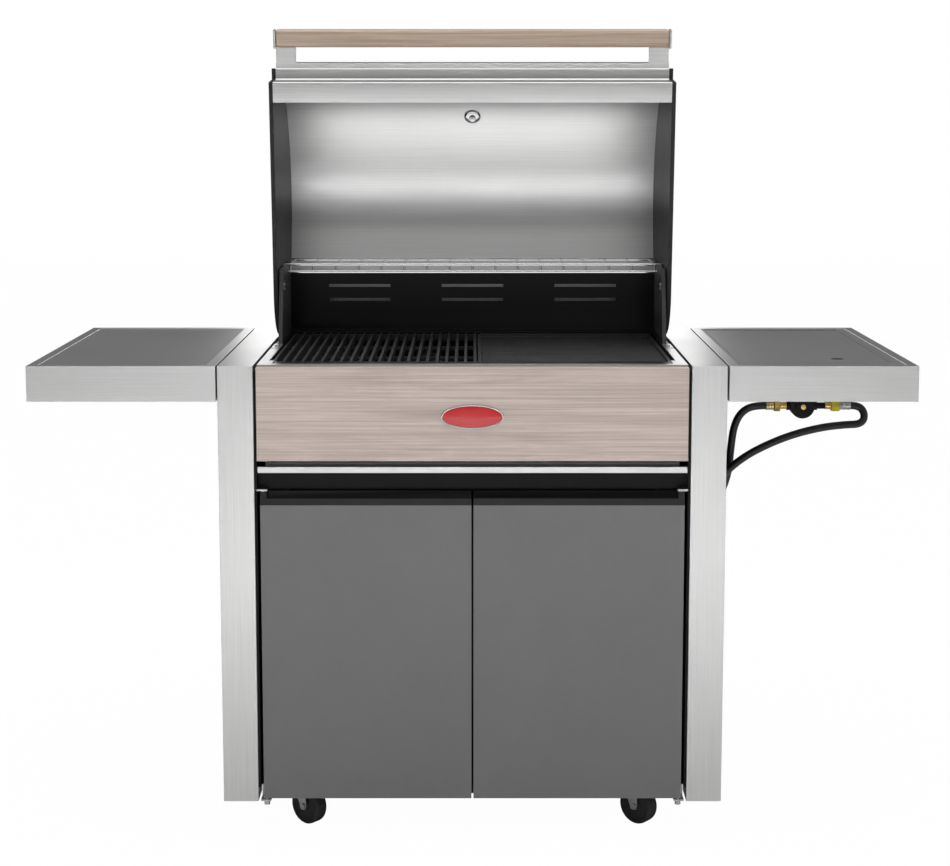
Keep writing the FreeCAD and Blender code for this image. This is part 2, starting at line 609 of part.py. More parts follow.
def hood_section(inset, rear, closing, x0, x1):
    """A slab whose front follows the hood's line, set in by a thickness.

    rear is the last point of the flat back, and closing lists the corners that close the outline.
    """
    lip = HOOD_LIP_Y + inset
    ledge = HOOD_LEDGE_Z + inset
    radius = HOOD_RADIUS - inset
    first = math.degrees(math.asin((ledge - HOOD_CENTRE[1]) / radius))
    arc_points = [curve_point(angle, radius)
                  for angle in (first, (first + HOOD_CURVE_END) / 2, HOOD_CURVE_END)]
    start, middle, end = [V(x0, y, z) for y, z in arc_points]
    line = [V(x0, y, z) for y, z in closing] + [V(x0, lip, ledge), start]
    edges = [Part.LineSegment(a, b).toShape() for a, b in zip(line, line[1:])]
    edges.append(Part.Arc(start, middle, end).toShape())
    edges.append(Part.LineSegment(end, V(x0, *rear)).toShape())
    edges.append(Part.LineSegment(V(x0, *rear), line[0]).toShape())
    return Part.Face(Part.Wire(edges)).extrude(V(x1 - x0, 0, 0))


def rear_point(y, inset):
    """Where the flat back, set in by a thickness, reaches a given Y."""
    start = curve_point(HOOD_CURVE_END, HOOD_RADIUS)
    slope_y = HOOD_REAR_Y - start[0]
    slope_z = HOOD_REAR_Z - start[1]
    inner_start = curve_point(HOOD_CURVE_END, HOOD_RADIUS - inset)
    return (y, inner_start[1] + (y - inner_start[0]) * slope_z / slope_y)


def hood_skin():
    """Curved sheet of the hood with its ledge and turned-in front lip."""
    low = HOOD_LIP_Z - 25
    outer = hood_section(0, rear_point(HOOD_REAR_Y, 0),
                         [(HOOD_REAR_Y, low), (HOOD_LIP_Y, low)], -HOOD_INNER, HOOD_INNER)
    inner = hood_section(SHEET, rear_point(HOOD_REAR_Y + 20, SHEET),
                         [(HOOD_REAR_Y + 20, low - 10), (HOOD_LIP_Y + SHEET, low - 10)],
                         -HOOD_INNER - 1, HOOD_INNER + 1)
    below = box(-HOOD_HALF, HOOD_HALF, 0, HOOD_REAR_Y + 1, low - 1, HOOD_LIP_Z)
    sheet = outer.cut(inner).cut(below)
    flange = box(-HOOD_INNER, HOOD_INNER, HOOD_LIP_Y, HOOD_LIP_Y + HOOD_LIP_FLANGE,
                 HOOD_LIP_Z, HOOD_LIP_Z + SHEET)
    hole = gauge_rod(-20, 20, 6)
    return join([sheet, flange]).cut(hole)


def hood_end():
    """Cast end of the hood with a rounded lower rear corner about the pivot."""
    swing = HOOD_SWING_RADIUS
    rear = PIVOT_Y + swing
    slab = hood_section(0, rear_point(rear, 0), [(rear, HOOD_LIP_Z), (HOOD_LIP_Y, HOOD_LIP_Z)],
                        HOOD_INNER, HOOD_HALF)
    corner = box(HOOD_INNER, HOOD_HALF, PIVOT_Y, rear, HOOD_LIP_Z, PIVOT_Z)
    corner = corner.cut(rod((HOOD_INNER, PIVOT_Y, PIVOT_Z), (1, 0, 0), HOOD_SIDE, swing))
    slab = slab.cut(corner)
    return slab.cut(rod((HOOD_INNER - 1, PIVOT_Y, PIVOT_Z), (1, 0, 0), HOOD_SIDE + 2,
                        PIN_RADIUS + RUNNING))


def gauge_rod(start, end, radius):
    """A round piece square to the hood's curve, between two heights over its outer face."""
    turn = math.radians(GAUGE_ANGLE)
    normal = V(0, -math.cos(turn), math.sin(turn))
    foot = V(0, *curve_point(GAUGE_ANGLE, HOOD_RADIUS)) + normal * start
    return Part.makeCylinder(radius, end - start, foot, normal)


def hood_gauge():
    """Temperature gauge: dial outside, stem through the skin, nut and washer inside."""
    return join([gauge_rod(SEAT_GAP, 11, 30), gauge_rod(-14, 5, 4.5),
                 gauge_rod(-SHEET - 6, -SHEET - 0.9, 17.5), gauge_rod(-SHEET - 11, -SHEET - 5, 7)])


def handle_brackets():
    """Backing rail on the hood's nose, two brackets and the handle's end caps."""
    rail = box(-HOOD_INNER, HOOD_INNER, HOOD_NOSE_Y - 10, HOOD_NOSE_Y,
               HANDLE_FOOT + 4, HANDLE_FOOT + HANDLE_HEIGHT + 2)
    rail = rail.cut(hood_section(0, rear_point(HOOD_REAR_Y, 0),
                                 [(HOOD_REAR_Y, HOOD_LIP_Z), (HOOD_LIP_Y, HOOD_LIP_Z)],
                                 -HOOD_HALF, HOOD_HALF))
    top = HANDLE_FOOT + HANDLE_HEIGHT
    arm = join([box(HOOD_HALF - 49, HOOD_HALF - 9, HANDLE_BACK_Y, HOOD_NOSE_Y - 10, HANDLE_FOOT + 5, top - 3),
                box(HOOD_INNER, HOOD_INNER + 4, HANDLE_BACK_Y - HANDLE_DEPTH, HANDLE_BACK_Y + 1,
                    HANDLE_FOOT, top),
                box(HOOD_HALF - 17, HOOD_INNER + 4, HANDLE_BACK_Y, HANDLE_BACK_Y + 3,
                    HANDLE_FOOT + 5, top - 3)])
    return join([rail, arm, mirrored(arm)])


def hood_handle():
    """Wooden bar across the hood's front."""
    bar = box(-HOOD_INNER, HOOD_INNER, HANDLE_BACK_Y - HANDLE_DEPTH, HANDLE_BACK_Y,
              HANDLE_FOOT, HANDLE_FOOT + HANDLE_HEIGHT)
    long_edges = [edge for edge in bar.Edges if edge.Length > HOOD_INNER]
    return bar.makeFillet(2.5, long_edges)


nodes["hood_skin"] = open_hood(hood_skin())
nodes["hood_ends"] = open_hood(both_sides(hood_end()))
nodes["hood_gauge"] = open_hood(hood_gauge())
nodes["handle_brackets"] = open_hood(handle_brackets())
nodes["hood_handle"] = open_hood(hood_handle())


# ---------------------------------------------------------------- grease tray
def grease_tray():
    """Shallow full-width tray with side flanges that slide on runners and a bright front bar.

    It is welded up from flat plates that touch, each a solid of its own.
    """
    half = BODY_HALF - 14
    top = TRAY_FOOT + TRAY_HEIGHT
    back = BODY_BACK - 40
    floor_top = TRAY_FOOT + SHEET
    floor = box(-half, half, 24, back, TRAY_FOOT, floor_top)
    ends = [box(-half + SHEET, half - SHEET, y0, y0 + SHEET, floor_top, top) for y0 in (24, back - SHEET)]
    side = box(half - SHEET, half, 24, back, floor_top, top)
    flange = box(half, BODY_HALF - 3, 60, back, top - 1.7, top)
    neck = box(-half, half, 10, 24, TRAY_FOOT, TRAY_FOOT + 3)
    front = box(-BODY_HALF + 2, BODY_HALF - 2, 0, 10, TRAY_FOOT, TRAY_FOOT + TRAY_LIP)
    return group([floor, side, mirrored(side), flange, mirrored(flange), neck, front] + ends)


nodes["grease_tray"] = grease_tray()


# ---------------------------------------------------------------- side shelves
def shelf_frame():
    """Right shelf: folded rim, open underneath, with a strap across its bottom."""
    outer = box(SHELF_INNER, SHELF_OUTER, 0, FRAME_DEPTH, SHELF_FOOT, WORKTOP)
    hollow = box(SHELF_INNER + SHEET, SHELF_OUTER - SHEET, SHEET, FRAME_DEPTH - SHEET,
                 SHELF_FOOT - 1, WORKTOP - SHEET)
    window = box(SHELF_INNER + SHELF_RIM, SHELF_OUTER - SHELF_RIM, SHELF_RIM, FRAME_DEPTH - SHELF_RIM,
                 SHELF_FOOT, WORKTOP + 1)
    strap = box(SHELF_INNER, SHELF_OUTER, GAS_Y - 25, GAS_Y + 25, SHELF_FOOT, SHELF_FOOT + 2)
    seats = [box(x0, x0 + 8, SHEET, COVER_BACK - 10, PANEL_TOP - PANEL_THICKNESS - 12,
                 PANEL_TOP - PANEL_THICKNESS)
             for x0 in (SHELF_INNER + SHELF_RIM - 4, SHELF_OUTER - SHELF_RIM - 4)]
    return join([outer.cut(hollow).cut(window), strap] + seats)


def shelf_panel():
    """Inset top panel of a shelf."""
    return box(SHELF_INNER + SHELF_RIM + 0.5, SHELF_OUTER - SHELF_RIM - 0.5,
               SHELF_RIM + 0.5, FRAME_DEPTH - SHELF_RIM - 0.5, PANEL_TOP - PANEL_THICKNESS, PANEL_TOP)


def shelf_panel_cut():
    """Right inset panel with the burner cover's opening and the ears for its hinge pins."""
    opening = box(COVER_X0 - 1, COVER_X1 + 1, COVER_FRONT - 1.5, COVER_BACK + 15,
                  PANEL_TOP - 19, WORKTOP)
    ears = [box(x0, x0 + 5, COVER_BACK - 2, COVER_BACK + 16, COVER_AXIS_Z - 6, PANEL_TOP - 1)
            for x0 in (COVER_X0 - 6, COVER_X1 + 1)]
    panel = join([shelf_panel().cut(opening)] + ears)
    return panel.cut(rod((COVER_X0 - 10, COVER_AXIS_Y, COVER_AXIS_Z), (1, 0, 0),
                         COVER_X1 - COVER_X0 + 20, 2.5 + RUNNING))


def burner_cover():
    """Flat hinged cover with a finger hole and two hinge knuckles."""
    slab = box(COVER_X0, COVER_X1, COVER_FRONT, COVER_BACK, PANEL_TOP - 4, PANEL_TOP)
    slab = slab.cut(rod((SHELF_INNER + 219, COVER_FRONT + 52, PANEL_TOP - 19), (0, 0, 1), 30, 12.5))
    knuckles = []
    for x0, x1 in ((COVER_X0, COVER_X0 + 25), (COVER_X1 - 25, COVER_X1)):
        knuckles.append(rod((x0, COVER_AXIS_Y, COVER_AXIS_Z), (1, 0, 0), x1 - x0, 4.5))
        knuckles.append(box(x0, x1, COVER_BACK - 1, COVER_AXIS_Y, PANEL_TOP - 4, PANEL_TOP - 1))
    pins = [rod((x0, COVER_AXIS_Y, COVER_AXIS_Z), (1, 0, 0), 6, 2.5)
            for x0 in (COVER_X0 - 5, COVER_X1 - 1)]
    return join([slab] + knuckles + pins)


BURNER_X = (COVER_X0 + COVER_X1) / 2
BURNER_Y = (COVER_FRONT + COVER_BACK) / 2
PAN_FOOT = PANEL_TOP - 31.0
BOWL_FOOT = PANEL_TOP - 57.0


def side_burner():
    """Drip pan hung under the panel, with a round bowl, and the burner head in it."""
    top = PANEL_TOP - PANEL_THICKNESS
    x0, x1 = COVER_X0 + 12, COVER_X1 - 12
    y0, y1 = COVER_FRONT + 20, COVER_BACK - 20
    pan = join([box(SHELF_INNER + 27, SHELF_OUTER - 27, COVER_FRONT - 15, COVER_BACK - 4, top - 2, top),
                box(x0, x1, y0, y1, PAN_FOOT, top),
                rod((BURNER_X, BURNER_Y, BOWL_FOOT), (0, 0, 1), 30, 82)])
    pan = pan.cut(box(x0 + SHEET, x1 - SHEET, y0 + SHEET, y1 - SHEET, PAN_FOOT + SHEET, WORKTOP))
    pan = pan.cut(rod((BURNER_X, BURNER_Y, BOWL_FOOT + SHEET), (0, 0, 1), 40, 82 - SHEET))
    head = join([rod((BURNER_X, BURNER_Y, BOWL_FOOT + SHEET), (0, 0, 1), 14, 25),
                 rod((BURNER_X, BURNER_Y, BOWL_FOOT + 15), (0, 0, 1), 8, 36)])
    return group([pan, head])


def trivet():
    """Four cast arms tied by a ring, standing on the pan."""
    ring = rod((BURNER_X, BURNER_Y, PAN_FOOT + 14), (0, 0, 1), 5, 58).cut(
        rod((BURNER_X, BURNER_Y, PAN_FOOT + 13), (0, 0, 1), 7, 50))
    pieces = [ring]
    for turn in (0, 90, 180, 270):
        arm = join([box(28, 118, -3, 3, PAN_FOOT + 12, PAN_FOOT + 21),
                    box(108, 118, -3, 3, PAN_FOOT + SHEET + SEAT_GAP, PAN_FOOT + 21)])
        arm.rotate(V(0, 0, 0), V(0, 0, 1), turn)
        arm.translate(V(BURNER_X, BURNER_Y, 0))
        pieces.append(arm)
    return join(pieces)


nodes["shelf_frame_right"] = shelf_frame()
nodes["shelf_frame_left"] = mirrored(shelf_frame())
nodes["shelf_panel_left"] = mirrored(shelf_panel())
nodes["shelf_panel_right"] = shelf_panel_cut()
nodes["shelf_brackets"] = both_sides(box(FRAME_OUTER, SHELF_INNER, 60, FRAME_DEPTH - 60,
                                         SHELF_FOOT + 8, WORKTOP - 12))
nodes["side_burner_cover"] = burner_cover()
nodes["side_burner"] = side_burner()
nodes["side_burner_trivet"] = trivet()


# ---------------------------------------------------------------- gas line under the right shelf
def gas_rod(x0, x1, radius):
    """A round piece on the gas line."""
    return rod((x0, GAS_Y, GAS_Z), (1, 0, 0), x1 - x0, radius)


def regulator():
    """Round regulator with side bosses, and the bracket that hangs it from the shelf's strap."""
    body = join([rod((GAS_MIDDLE_X, GAS_Y - 14, GAS_Z), (0, 1, 0), 28, 24),
                 rod((GAS_MIDDLE_X, GAS_Y - 19, GAS_Z), (0, 1, 0), 8, 14),
                 gas_rod(GAS_MIDDLE_X - 30, GAS_MIDDLE_X + 30, 9),
                 gas_rod(GAS_MIDDLE_X + 28, GAS_MIDDLE_X + 46, 6.5)])
    bracket = box(GAS_MIDDLE_X - 14, GAS_MIDDLE_X + 14, GAS_Y - 2, GAS_Y + 2, GAS_Z + 22, SHELF_FOOT)
    return group([body, bracket.cut(body)])


FERRULE_A_END = GAS_MIDDLE_X - 71
FERRULE_B_END = GAS_MIDDLE_X + 97


def gas_fittings():
    """Brass adapters and nuts and the crimped ferrules on both sides of the regulator."""
    left = [gas_rod(FERRULE_A_END, FERRULE_A_END + 15, 9), hexagon(FERRULE_A_END + 15, FERRULE_A_END + 28, 21),
            gas_rod(FERRULE_A_END + 28, GAS_MIDDLE_X - 30, 7)]
    right = [gas_rod(GAS_MIDDLE_X + 46, GAS_MIDDLE_X + 58, 7.5),
             hexagon(GAS_MIDDLE_X + 58, GAS_MIDDLE_X + 75, 21),
             gas_rod(GAS_MIDDLE_X + 75, FERRULE_B_END, 8.5)]
    return group(left + right)


nodes["regulator"] = regulator()
nodes["gas_fittings"] = gas_fittings()

HOSE_A_ROUTE = [(458, 300, 572), (494, 294, 592), (512, 286, 640), (516, 281, 700), (521, 280, 742),
                (535, 280, 770), (559, GAS_Y, GAS_Z), (FERRULE_A_END, GAS_Y, GAS_Z)]
HOSE_B_ROUTE = [(FERRULE_B_END, GAS_Y, GAS_Z), (767, GAS_Y, GAS_Z), (778, 276, 773), (779, 270, 758),
                (768, 264, 748), (740, 259, 748), (695, 255, 744), (640, 254, 731), (588, 254, 711),
                (540, 256, 685), (500, 261, 650), (458, 268, 602)]
nodes["hose_a"] = hose_tube(HOSE_A_ROUTE, HOSE_RADIUS, "hose_a")
nodes["hose_b"] = hose_tube(HOSE_B_ROUTE, HOSE_RADIUS, "hose_b")

# ---------------------------------------------------------------- origin and export
body = FreeCAD.BoundBox()
for name, shape in nodes.items():
    if not name.startswith("hose_a") and not name.startswith("hose_b"):
        body.add(shape.optimalBoundingBox(False))
origin = V((body.XMin + body.XMax) / 2, (body.YMin + body.YMax) / 2, body.ZMin)
print(f"origin in the design frame: {origin.x:.3f} {origin.y:.3f} {origin.z:.3f}")
print(f"box: {body.XLength:.2f} x {body.YLength:.2f} x {body.ZLength:.2f} mm, {len(nodes)} nodes")
for name, shape in nodes.items():
    shape.translate(origin * -1)
    if not shape.isValid():
        print("invalid shape:", name)
    shape.exportStep(f"parts/{name}.step")
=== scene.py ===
"""Looks of the gas barbecue grill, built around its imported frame."""
import logging
import math
from dataclasses import dataclass, field
from enum import Enum
from typing import Sequence

import bmesh
import bpy
import numpy as np
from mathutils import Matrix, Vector


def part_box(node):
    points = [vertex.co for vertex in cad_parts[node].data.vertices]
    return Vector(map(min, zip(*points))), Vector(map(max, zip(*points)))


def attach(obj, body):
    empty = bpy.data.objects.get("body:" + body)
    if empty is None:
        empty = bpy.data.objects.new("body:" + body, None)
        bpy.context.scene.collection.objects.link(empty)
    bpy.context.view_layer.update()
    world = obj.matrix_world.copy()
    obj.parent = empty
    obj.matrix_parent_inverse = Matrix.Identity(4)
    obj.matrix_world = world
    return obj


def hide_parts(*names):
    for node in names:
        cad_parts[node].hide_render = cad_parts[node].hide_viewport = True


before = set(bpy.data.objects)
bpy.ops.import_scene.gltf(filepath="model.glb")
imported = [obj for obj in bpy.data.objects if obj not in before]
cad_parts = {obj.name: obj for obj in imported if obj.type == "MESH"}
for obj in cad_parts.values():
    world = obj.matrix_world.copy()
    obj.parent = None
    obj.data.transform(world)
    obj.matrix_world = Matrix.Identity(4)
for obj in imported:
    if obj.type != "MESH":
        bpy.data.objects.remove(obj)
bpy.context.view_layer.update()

LOG = logging.getLogger("barbecue")
Colour = tuple[float, float, float]
Point = tuple[float, float, float]
MM = 0.001
FRONT_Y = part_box("side_frame_left")[0].y      # the doors' front plane in the row frame


def at(x: float, y: float, z: float) -> Point:
    """Place of a point given in millimetres from the front plane and the floor."""
    return (x * MM, FRONT_Y + y * MM, z * MM)


class Axis(Enum):
    """Row axis that a bar or a pattern runs along."""

    X = 0
    Y = 1
    Z = 2


# ---------------------------------------------------------------- shader tools
class Nodes:
    """A node tree with short calls for adding and wiring nodes."""

    def __init__(self, tree: bpy.types.NodeTree) -> None:
        """Keep the tree.

        Args:
            tree: The material's, group's or world's node tree.
        """
        self.tree = tree

    def add(self, kind: str, **settings: object) -> bpy.types.Node:
        """Add a node and set its properties and unlinked inputs.

        Args:
            kind: The node's type name.
            settings: Properties of the node, or input names with spaces as underscores.

        Returns:
            The new node.
        """
        node = self.tree.nodes.new(kind)
        for name, value in settings.items():
            if hasattr(node, name):
                setattr(node, name, value)
            else:
                node.inputs[name.replace("_", " ")].default_value = value
        return node

    def link(self, source: bpy.types.NodeSocket, target: bpy.types.NodeSocket) -> None:
        """Wire one socket to another."""
        self.tree.links.new(source, target)

    def math(self, operation: str, first: object, second: object) -> bpy.types.NodeSocket:
        """Add a Math node whose inputs are sockets or numbers.

        Args:
            operation: The node's operation name.
            first: A socket or a number.
            second: A socket or a number.

        Returns:
            The result socket.
        """
        node = self.add("ShaderNodeMath", operation=operation)
        for index, value in enumerate((first, second)):
            if isinstance(value, bpy.types.NodeSocket):
                self.link(value, node.inputs[index])
            else:
                node.inputs[index].default_value = value
        return node.outputs[0]

    def stretched_noise(self, scale: Point, detail: float, roughness: float = 0.5,
                        distortion: float = 0.0, lacunarity: float = 2.0) -> bpy.types.NodeSocket:
        """Noise on Object coordinates, stretched by a different scale along each axis.

        Args:
            scale: Repeats per metre along X, Y and Z.
            detail: Number of octaves.
            roughness: Weight of the finer octaves.
            distortion: How far the pattern is warped.
            lacunarity: Step in size between octaves.

        Returns:
            The noise value's socket.
        """
        coords = self.add("ShaderNodeTexCoord")
        mapping = self.add("ShaderNodeMapping", Scale=scale)
        noise = self.add("ShaderNodeTexNoise", Scale=1.0, Detail=detail, Roughness=roughness,
                         Distortion=distortion, Lacunarity=lacunarity)
        self.link(coords.outputs["Object"], mapping.inputs["Vector"])
        self.link(mapping.outputs["Vector"], noise.inputs["Vector"])
        return noise.outputs[0]

    def ramp(self, value: bpy.types.NodeSocket,
             stops: Sequence[tuple[float, Colour]]) -> bpy.types.NodeSocket:
        """Map a value to colours.

        Args:
            value: The value's socket.
            stops: Places from 0 to 1 with their colours.

        Returns:
            The colour socket.
        """
        node = self.add("ShaderNodeValToRGB")
        bands = node.color_ramp.elements
        while len(bands) < len(stops):
            bands.new(0.5)
        for band, (place, colour) in zip(bands, stops):
            band.position = place
            band.color = (*colour, 1.0)
        self.link(value, node.inputs[0])
        return node.outputs[0]

    def spread(self, value: bpy.types.NodeSocket, low: float, high: float,
               out_low: float, out_high: float) -> bpy.types.NodeSocket:
        """Map a value from one range to another, held at the ends.

        Args:
            value: The value's socket.
            low: Value that gives out_low.
            high: Value that gives out_high.
            out_low: Result at low.
            out_high: Result at high.

        Returns:
            The mapped value's socket.
        """
        node = self.add("ShaderNodeMapRange", From_Min=low, From_Max=high, To_Min=out_low, To_Max=out_high)
        self.link(value, node.inputs["Value"])
        return node.outputs[0]


def wear_group() -> bpy.types.NodeTree:
    """Node group of handling marks, built once.

    Two noises on Object coordinates, a cloudy one a few per metre and a fine one, are mixed to a
    mask from 0 to 1 with its contrast set by an input.

    Returns:
        The group, with inputs Size and Contrast and output Mask.
    """
    known = bpy.data.node_groups.get("handling_marks")
    if known:
        return known
    tree = bpy.data.node_groups.new("handling_marks", "ShaderNodeTree")
    for name, value in (("Size", 6.0), ("Contrast", 0.5)):
        socket = tree.interface.new_socket(name, in_out="INPUT", socket_type="NodeSocketFloat")
        socket.default_value = value
    tree.interface.new_socket("Mask", in_out="OUTPUT", socket_type="NodeSocketFloat")
    kit = Nodes(tree)
    given = kit.add("NodeGroupInput")
    result = kit.add("NodeGroupOutput")
    coords = kit.add("ShaderNodeTexCoord")
    cloudy = kit.add("ShaderNodeTexNoise", Detail=4.0, Roughness=0.6, Distortion=0.4)
    fine = kit.add("ShaderNodeTexNoise", Detail=3.0, Roughness=0.7)
    for noise, factor in ((cloudy, 1.0), (fine, 9.0)):
        kit.link(coords.outputs["Object"], noise.inputs["Vector"])
        kit.link(kit.math("MULTIPLY", given.outputs["Size"], factor), noise.inputs["Scale"])
    mixed = kit.math("ADD", kit.math("MULTIPLY", cloudy.outputs[0], 0.7),
                     kit.math("MULTIPLY", fine.outputs[0], 0.3))
    centred = kit.math("SUBTRACT", mixed, 0.5)
    kit.link(kit.math("ADD", kit.math("MULTIPLY", centred, given.outputs["Contrast"]), 0.5),
             result.inputs["Mask"])
    return tree


def add_wear(kit: Nodes, size: float, contrast: float) -> bpy.types.NodeSocket:
    """Place the handling marks group in a material.

    Args:
        kit: The material's nodes.
        size: Patches per metre.
        contrast: Strength of the mask.

    Returns:
        The mask's socket.
    """
    node = kit.add("ShaderNodeGroup", node_tree=wear_group())
    node.inputs["Size"].default_value = size
    node.inputs["Contrast"].default_value = contrast
    return node.outputs["Mask"]


# ---------------------------------------------------------------- finishes
@dataclass(frozen=True)
class Finish:
    """What every finish shares: a name and how it becomes a material."""

    name: str

    def material(self) -> bpy.types.Material:
        """Build the material once and return it."""
        known = bpy.data.materials.get(self.name)
        if known:
            return known
        made = bpy.data.materials.new(self.name)
        made.use_nodes = True
        kit = Nodes(made.node_tree)
        shader = made.node_tree.nodes["Principled BSDF"]
        self.dress(kit, shader)
        return made

    def dress(self, kit: Nodes, shader: bpy.types.Node) -> None:
        """Set the shader; each finish has its own.

        Args:
            kit: The material's nodes.
            shader: Its Principled BSDF.
        """
        raise NotImplementedError

    def bump(self, kit: Nodes, shader: bpy.types.Node, height: bpy.types.NodeSocket,
             distance: float, strength: float) -> None:
        """Feed a height to the shader's normal.

        Args:
            kit: The material's nodes.
            shader: Its Principled BSDF.
            height: The height's socket.
            distance: Depth of the relief in metres.
            strength: Weight of the relief.
        """
        node = kit.add("ShaderNodeBump", Distance=distance, Strength=strength)
        kit.link(height, node.inputs["Height"])
        kit.link(node.outputs["Normal"], shader.inputs["Normal"])


@dataclass(frozen=True)
class BrushedSteel(Finish):
    """Stainless sheet with fine brush lines along one axis."""

    tint: Colour = (0.60, 0.60, 0.595)
    along: Axis = Axis.Z
    rough: float = 0.34
    lines: float = 1400.0

    def dress(self, kit: Nodes, shader: bpy.types.Node) -> None:
        """Long thin noise lines vary the tint, the roughness and a very shallow relief."""
        scale = [self.lines] * 3
        scale[self.along.value] = 4.0
        streaks = kit.stretched_noise(tuple(scale), 3.0, 0.65)
        wear = add_wear(kit, 3.0, 0.5)
        dark = tuple(0.88 * channel for channel in self.tint)
        light = tuple(min(1.0, 1.10 * channel) for channel in self.tint)
        kit.link(kit.ramp(streaks, [(0.30, dark), (0.70, light)]), shader.inputs["Base Color"])
        rough = kit.math("ADD", kit.spread(streaks, 0.3, 0.7, self.rough - 0.05, self.rough + 0.05),
                         kit.spread(wear, 0.35, 0.65, -0.03, 0.04))
        kit.link(rough, shader.inputs["Roughness"])
        shader.inputs["Metallic"].default_value = 1.0
        self.bump(kit, shader, streaks, 0.00003, 0.35)


@dataclass(frozen=True)
class Paint(Finish):
    """Powder coat or enamel: a colour with fine grain and faint handling marks."""

    colour: Colour = (0.13, 0.13, 0.13)
    rough: float = 0.45
    coat: float = 0.0
    grain: float = 2200.0
    relief: float = 0.00004
    shine: float = 0.5

    def dress(self, kit: Nodes, shader: bpy.types.Node) -> None:
        """Fine grain is the relief; the marks vary the colour and the roughness a little."""
        grain = kit.stretched_noise((self.grain,) * 3, 2.0)
        wear = add_wear(kit, 4.0, 0.6)
        dark = tuple(0.90 * channel for channel in self.colour)
        light = tuple(1.10 * channel for channel in self.colour)
        kit.link(kit.ramp(wear, [(0.3, dark), (0.7, light)]), shader.inputs["Base Color"])
        rough = kit.spread(wear, 0.3, 0.7, self.rough - 0.05, self.rough + 0.05)
        kit.link(rough, shader.inputs["Roughness"])
        shader.inputs["Specular IOR Level"].default_value = self.shine
        shader.inputs["Coat Weight"].default_value = self.coat
        shader.inputs["Coat Roughness"].default_value = 0.12
        self.bump(kit, shader, grain, self.relief, 0.4)


@dataclass(frozen=True)
class CastIron(Finish):
    """Seasoned cast iron with a sandy skin."""

    colour: Colour = (0.030, 0.030, 0.031)
    rough: float = 0.52

    def dress(self, kit: Nodes, shader: bpy.types.Node) -> None:
        """A coarse and a fine noise make the casting's skin; oily patches shine more."""
        sand = kit.stretched_noise((900.0, 900.0, 900.0), 5.0, 0.7)
        oil = add_wear(kit, 14.0, 1.2)
        bright = tuple(2.1 * channel for channel in self.colour)
        kit.link(kit.ramp(sand, [(0.30, self.colour), (0.75, bright)]), shader.inputs["Base Color"])
        rough = kit.spread(oil, 0.25, 0.75, self.rough - 0.16, self.rough + 0.12)
        kit.link(rough, shader.inputs["Roughness"])
        self.bump(kit, shader, sand, 0.00035, 0.55)


@dataclass(frozen=True)
class WoodGrain(Finish):
    """Wood or a wood-faced laminate with its grain along X."""

    pale: Colour = (0.72, 0.615, 0.56)
    middle: Colour = (0.58, 0.485, 0.435)
    dark: Colour = (0.40, 0.32, 0.28)
    rings: float = 18.0
    rough: float = 0.42

    def dress(self, kit: Nodes, shader: bpy.types.Node) -> None:
        """Broad wavy bands, narrow grain lines and short dark pores are laid over each other."""
        bands = kit.stretched_noise((1.3, self.rings, self.rings), 5.0, 0.55, 1.6)
        lines = kit.stretched_noise((3.5, 420.0, 420.0), 4.0, 0.6, 0.3)
        pores = kit.stretched_noise((28.0, 1300.0, 1300.0), 2.0, 0.5)
        base = kit.ramp(bands, [(0.28, self.middle), (0.50, self.pale), (0.72, self.middle)])
        fine = kit.ramp(lines, [(0.33, tuple(0.80 * c for c in self.pale)), (0.60, (1.0, 1.0, 1.0))])
        mixed = kit.add("ShaderNodeMix", data_type="RGBA", blend_type="MULTIPLY")
        mixed.inputs[0].default_value = 0.55
        kit.link(base, mixed.inputs[6])
        kit.link(fine, mixed.inputs[7])
        pored = kit.add("ShaderNodeMix", data_type="RGBA", blend_type="MIX")
        kit.link(kit.spread(pores, 0.60, 0.74, 0.0, 0.55), pored.inputs[0])
        kit.link(mixed.outputs[2], pored.inputs[6])
        pored.inputs[7].default_value = (*self.dark, 1.0)
        kit.link(pored.outputs[2], shader.inputs["Base Color"])
        rough = kit.spread(lines, 0.3, 0.7, self.rough + 0.08, self.rough - 0.04)
        kit.link(rough, shader.inputs["Roughness"])
        pits = kit.spread(pores, 0.58, 0.74, 0.0, 0.8)
        height = kit.math("SUBTRACT", kit.math("MULTIPLY", lines, 0.5), pits)
        self.bump(kit, shader, height, 0.00012, 0.5)


@dataclass(frozen=True)
class PlainMetal(Finish):
    """Plated, cast or machined metal with faint tool marks."""

    colour: Colour = (0.62, 0.62, 0.63)
    rough: float = 0.22

    def dress(self, kit: Nodes, shader: bpy.types.Node) -> None:
        """Small noise varies the colour, the roughness and a shallow relief."""
        marks = kit.stretched_noise((700.0, 700.0, 700.0), 3.0, 0.6)
        dark = tuple(0.85 * channel for channel in self.colour)
        kit.link(kit.ramp(marks, [(0.3, dark), (0.65, self.colour)]), shader.inputs["Base Color"])
        rough = kit.spread(marks, 0.3, 0.7, self.rough + 0.06, self.rough - 0.04)
        kit.link(rough, shader.inputs["Roughness"])
        shader.inputs["Metallic"].default_value = 1.0
        self.bump(kit, shader, marks, 0.00005, 0.3)


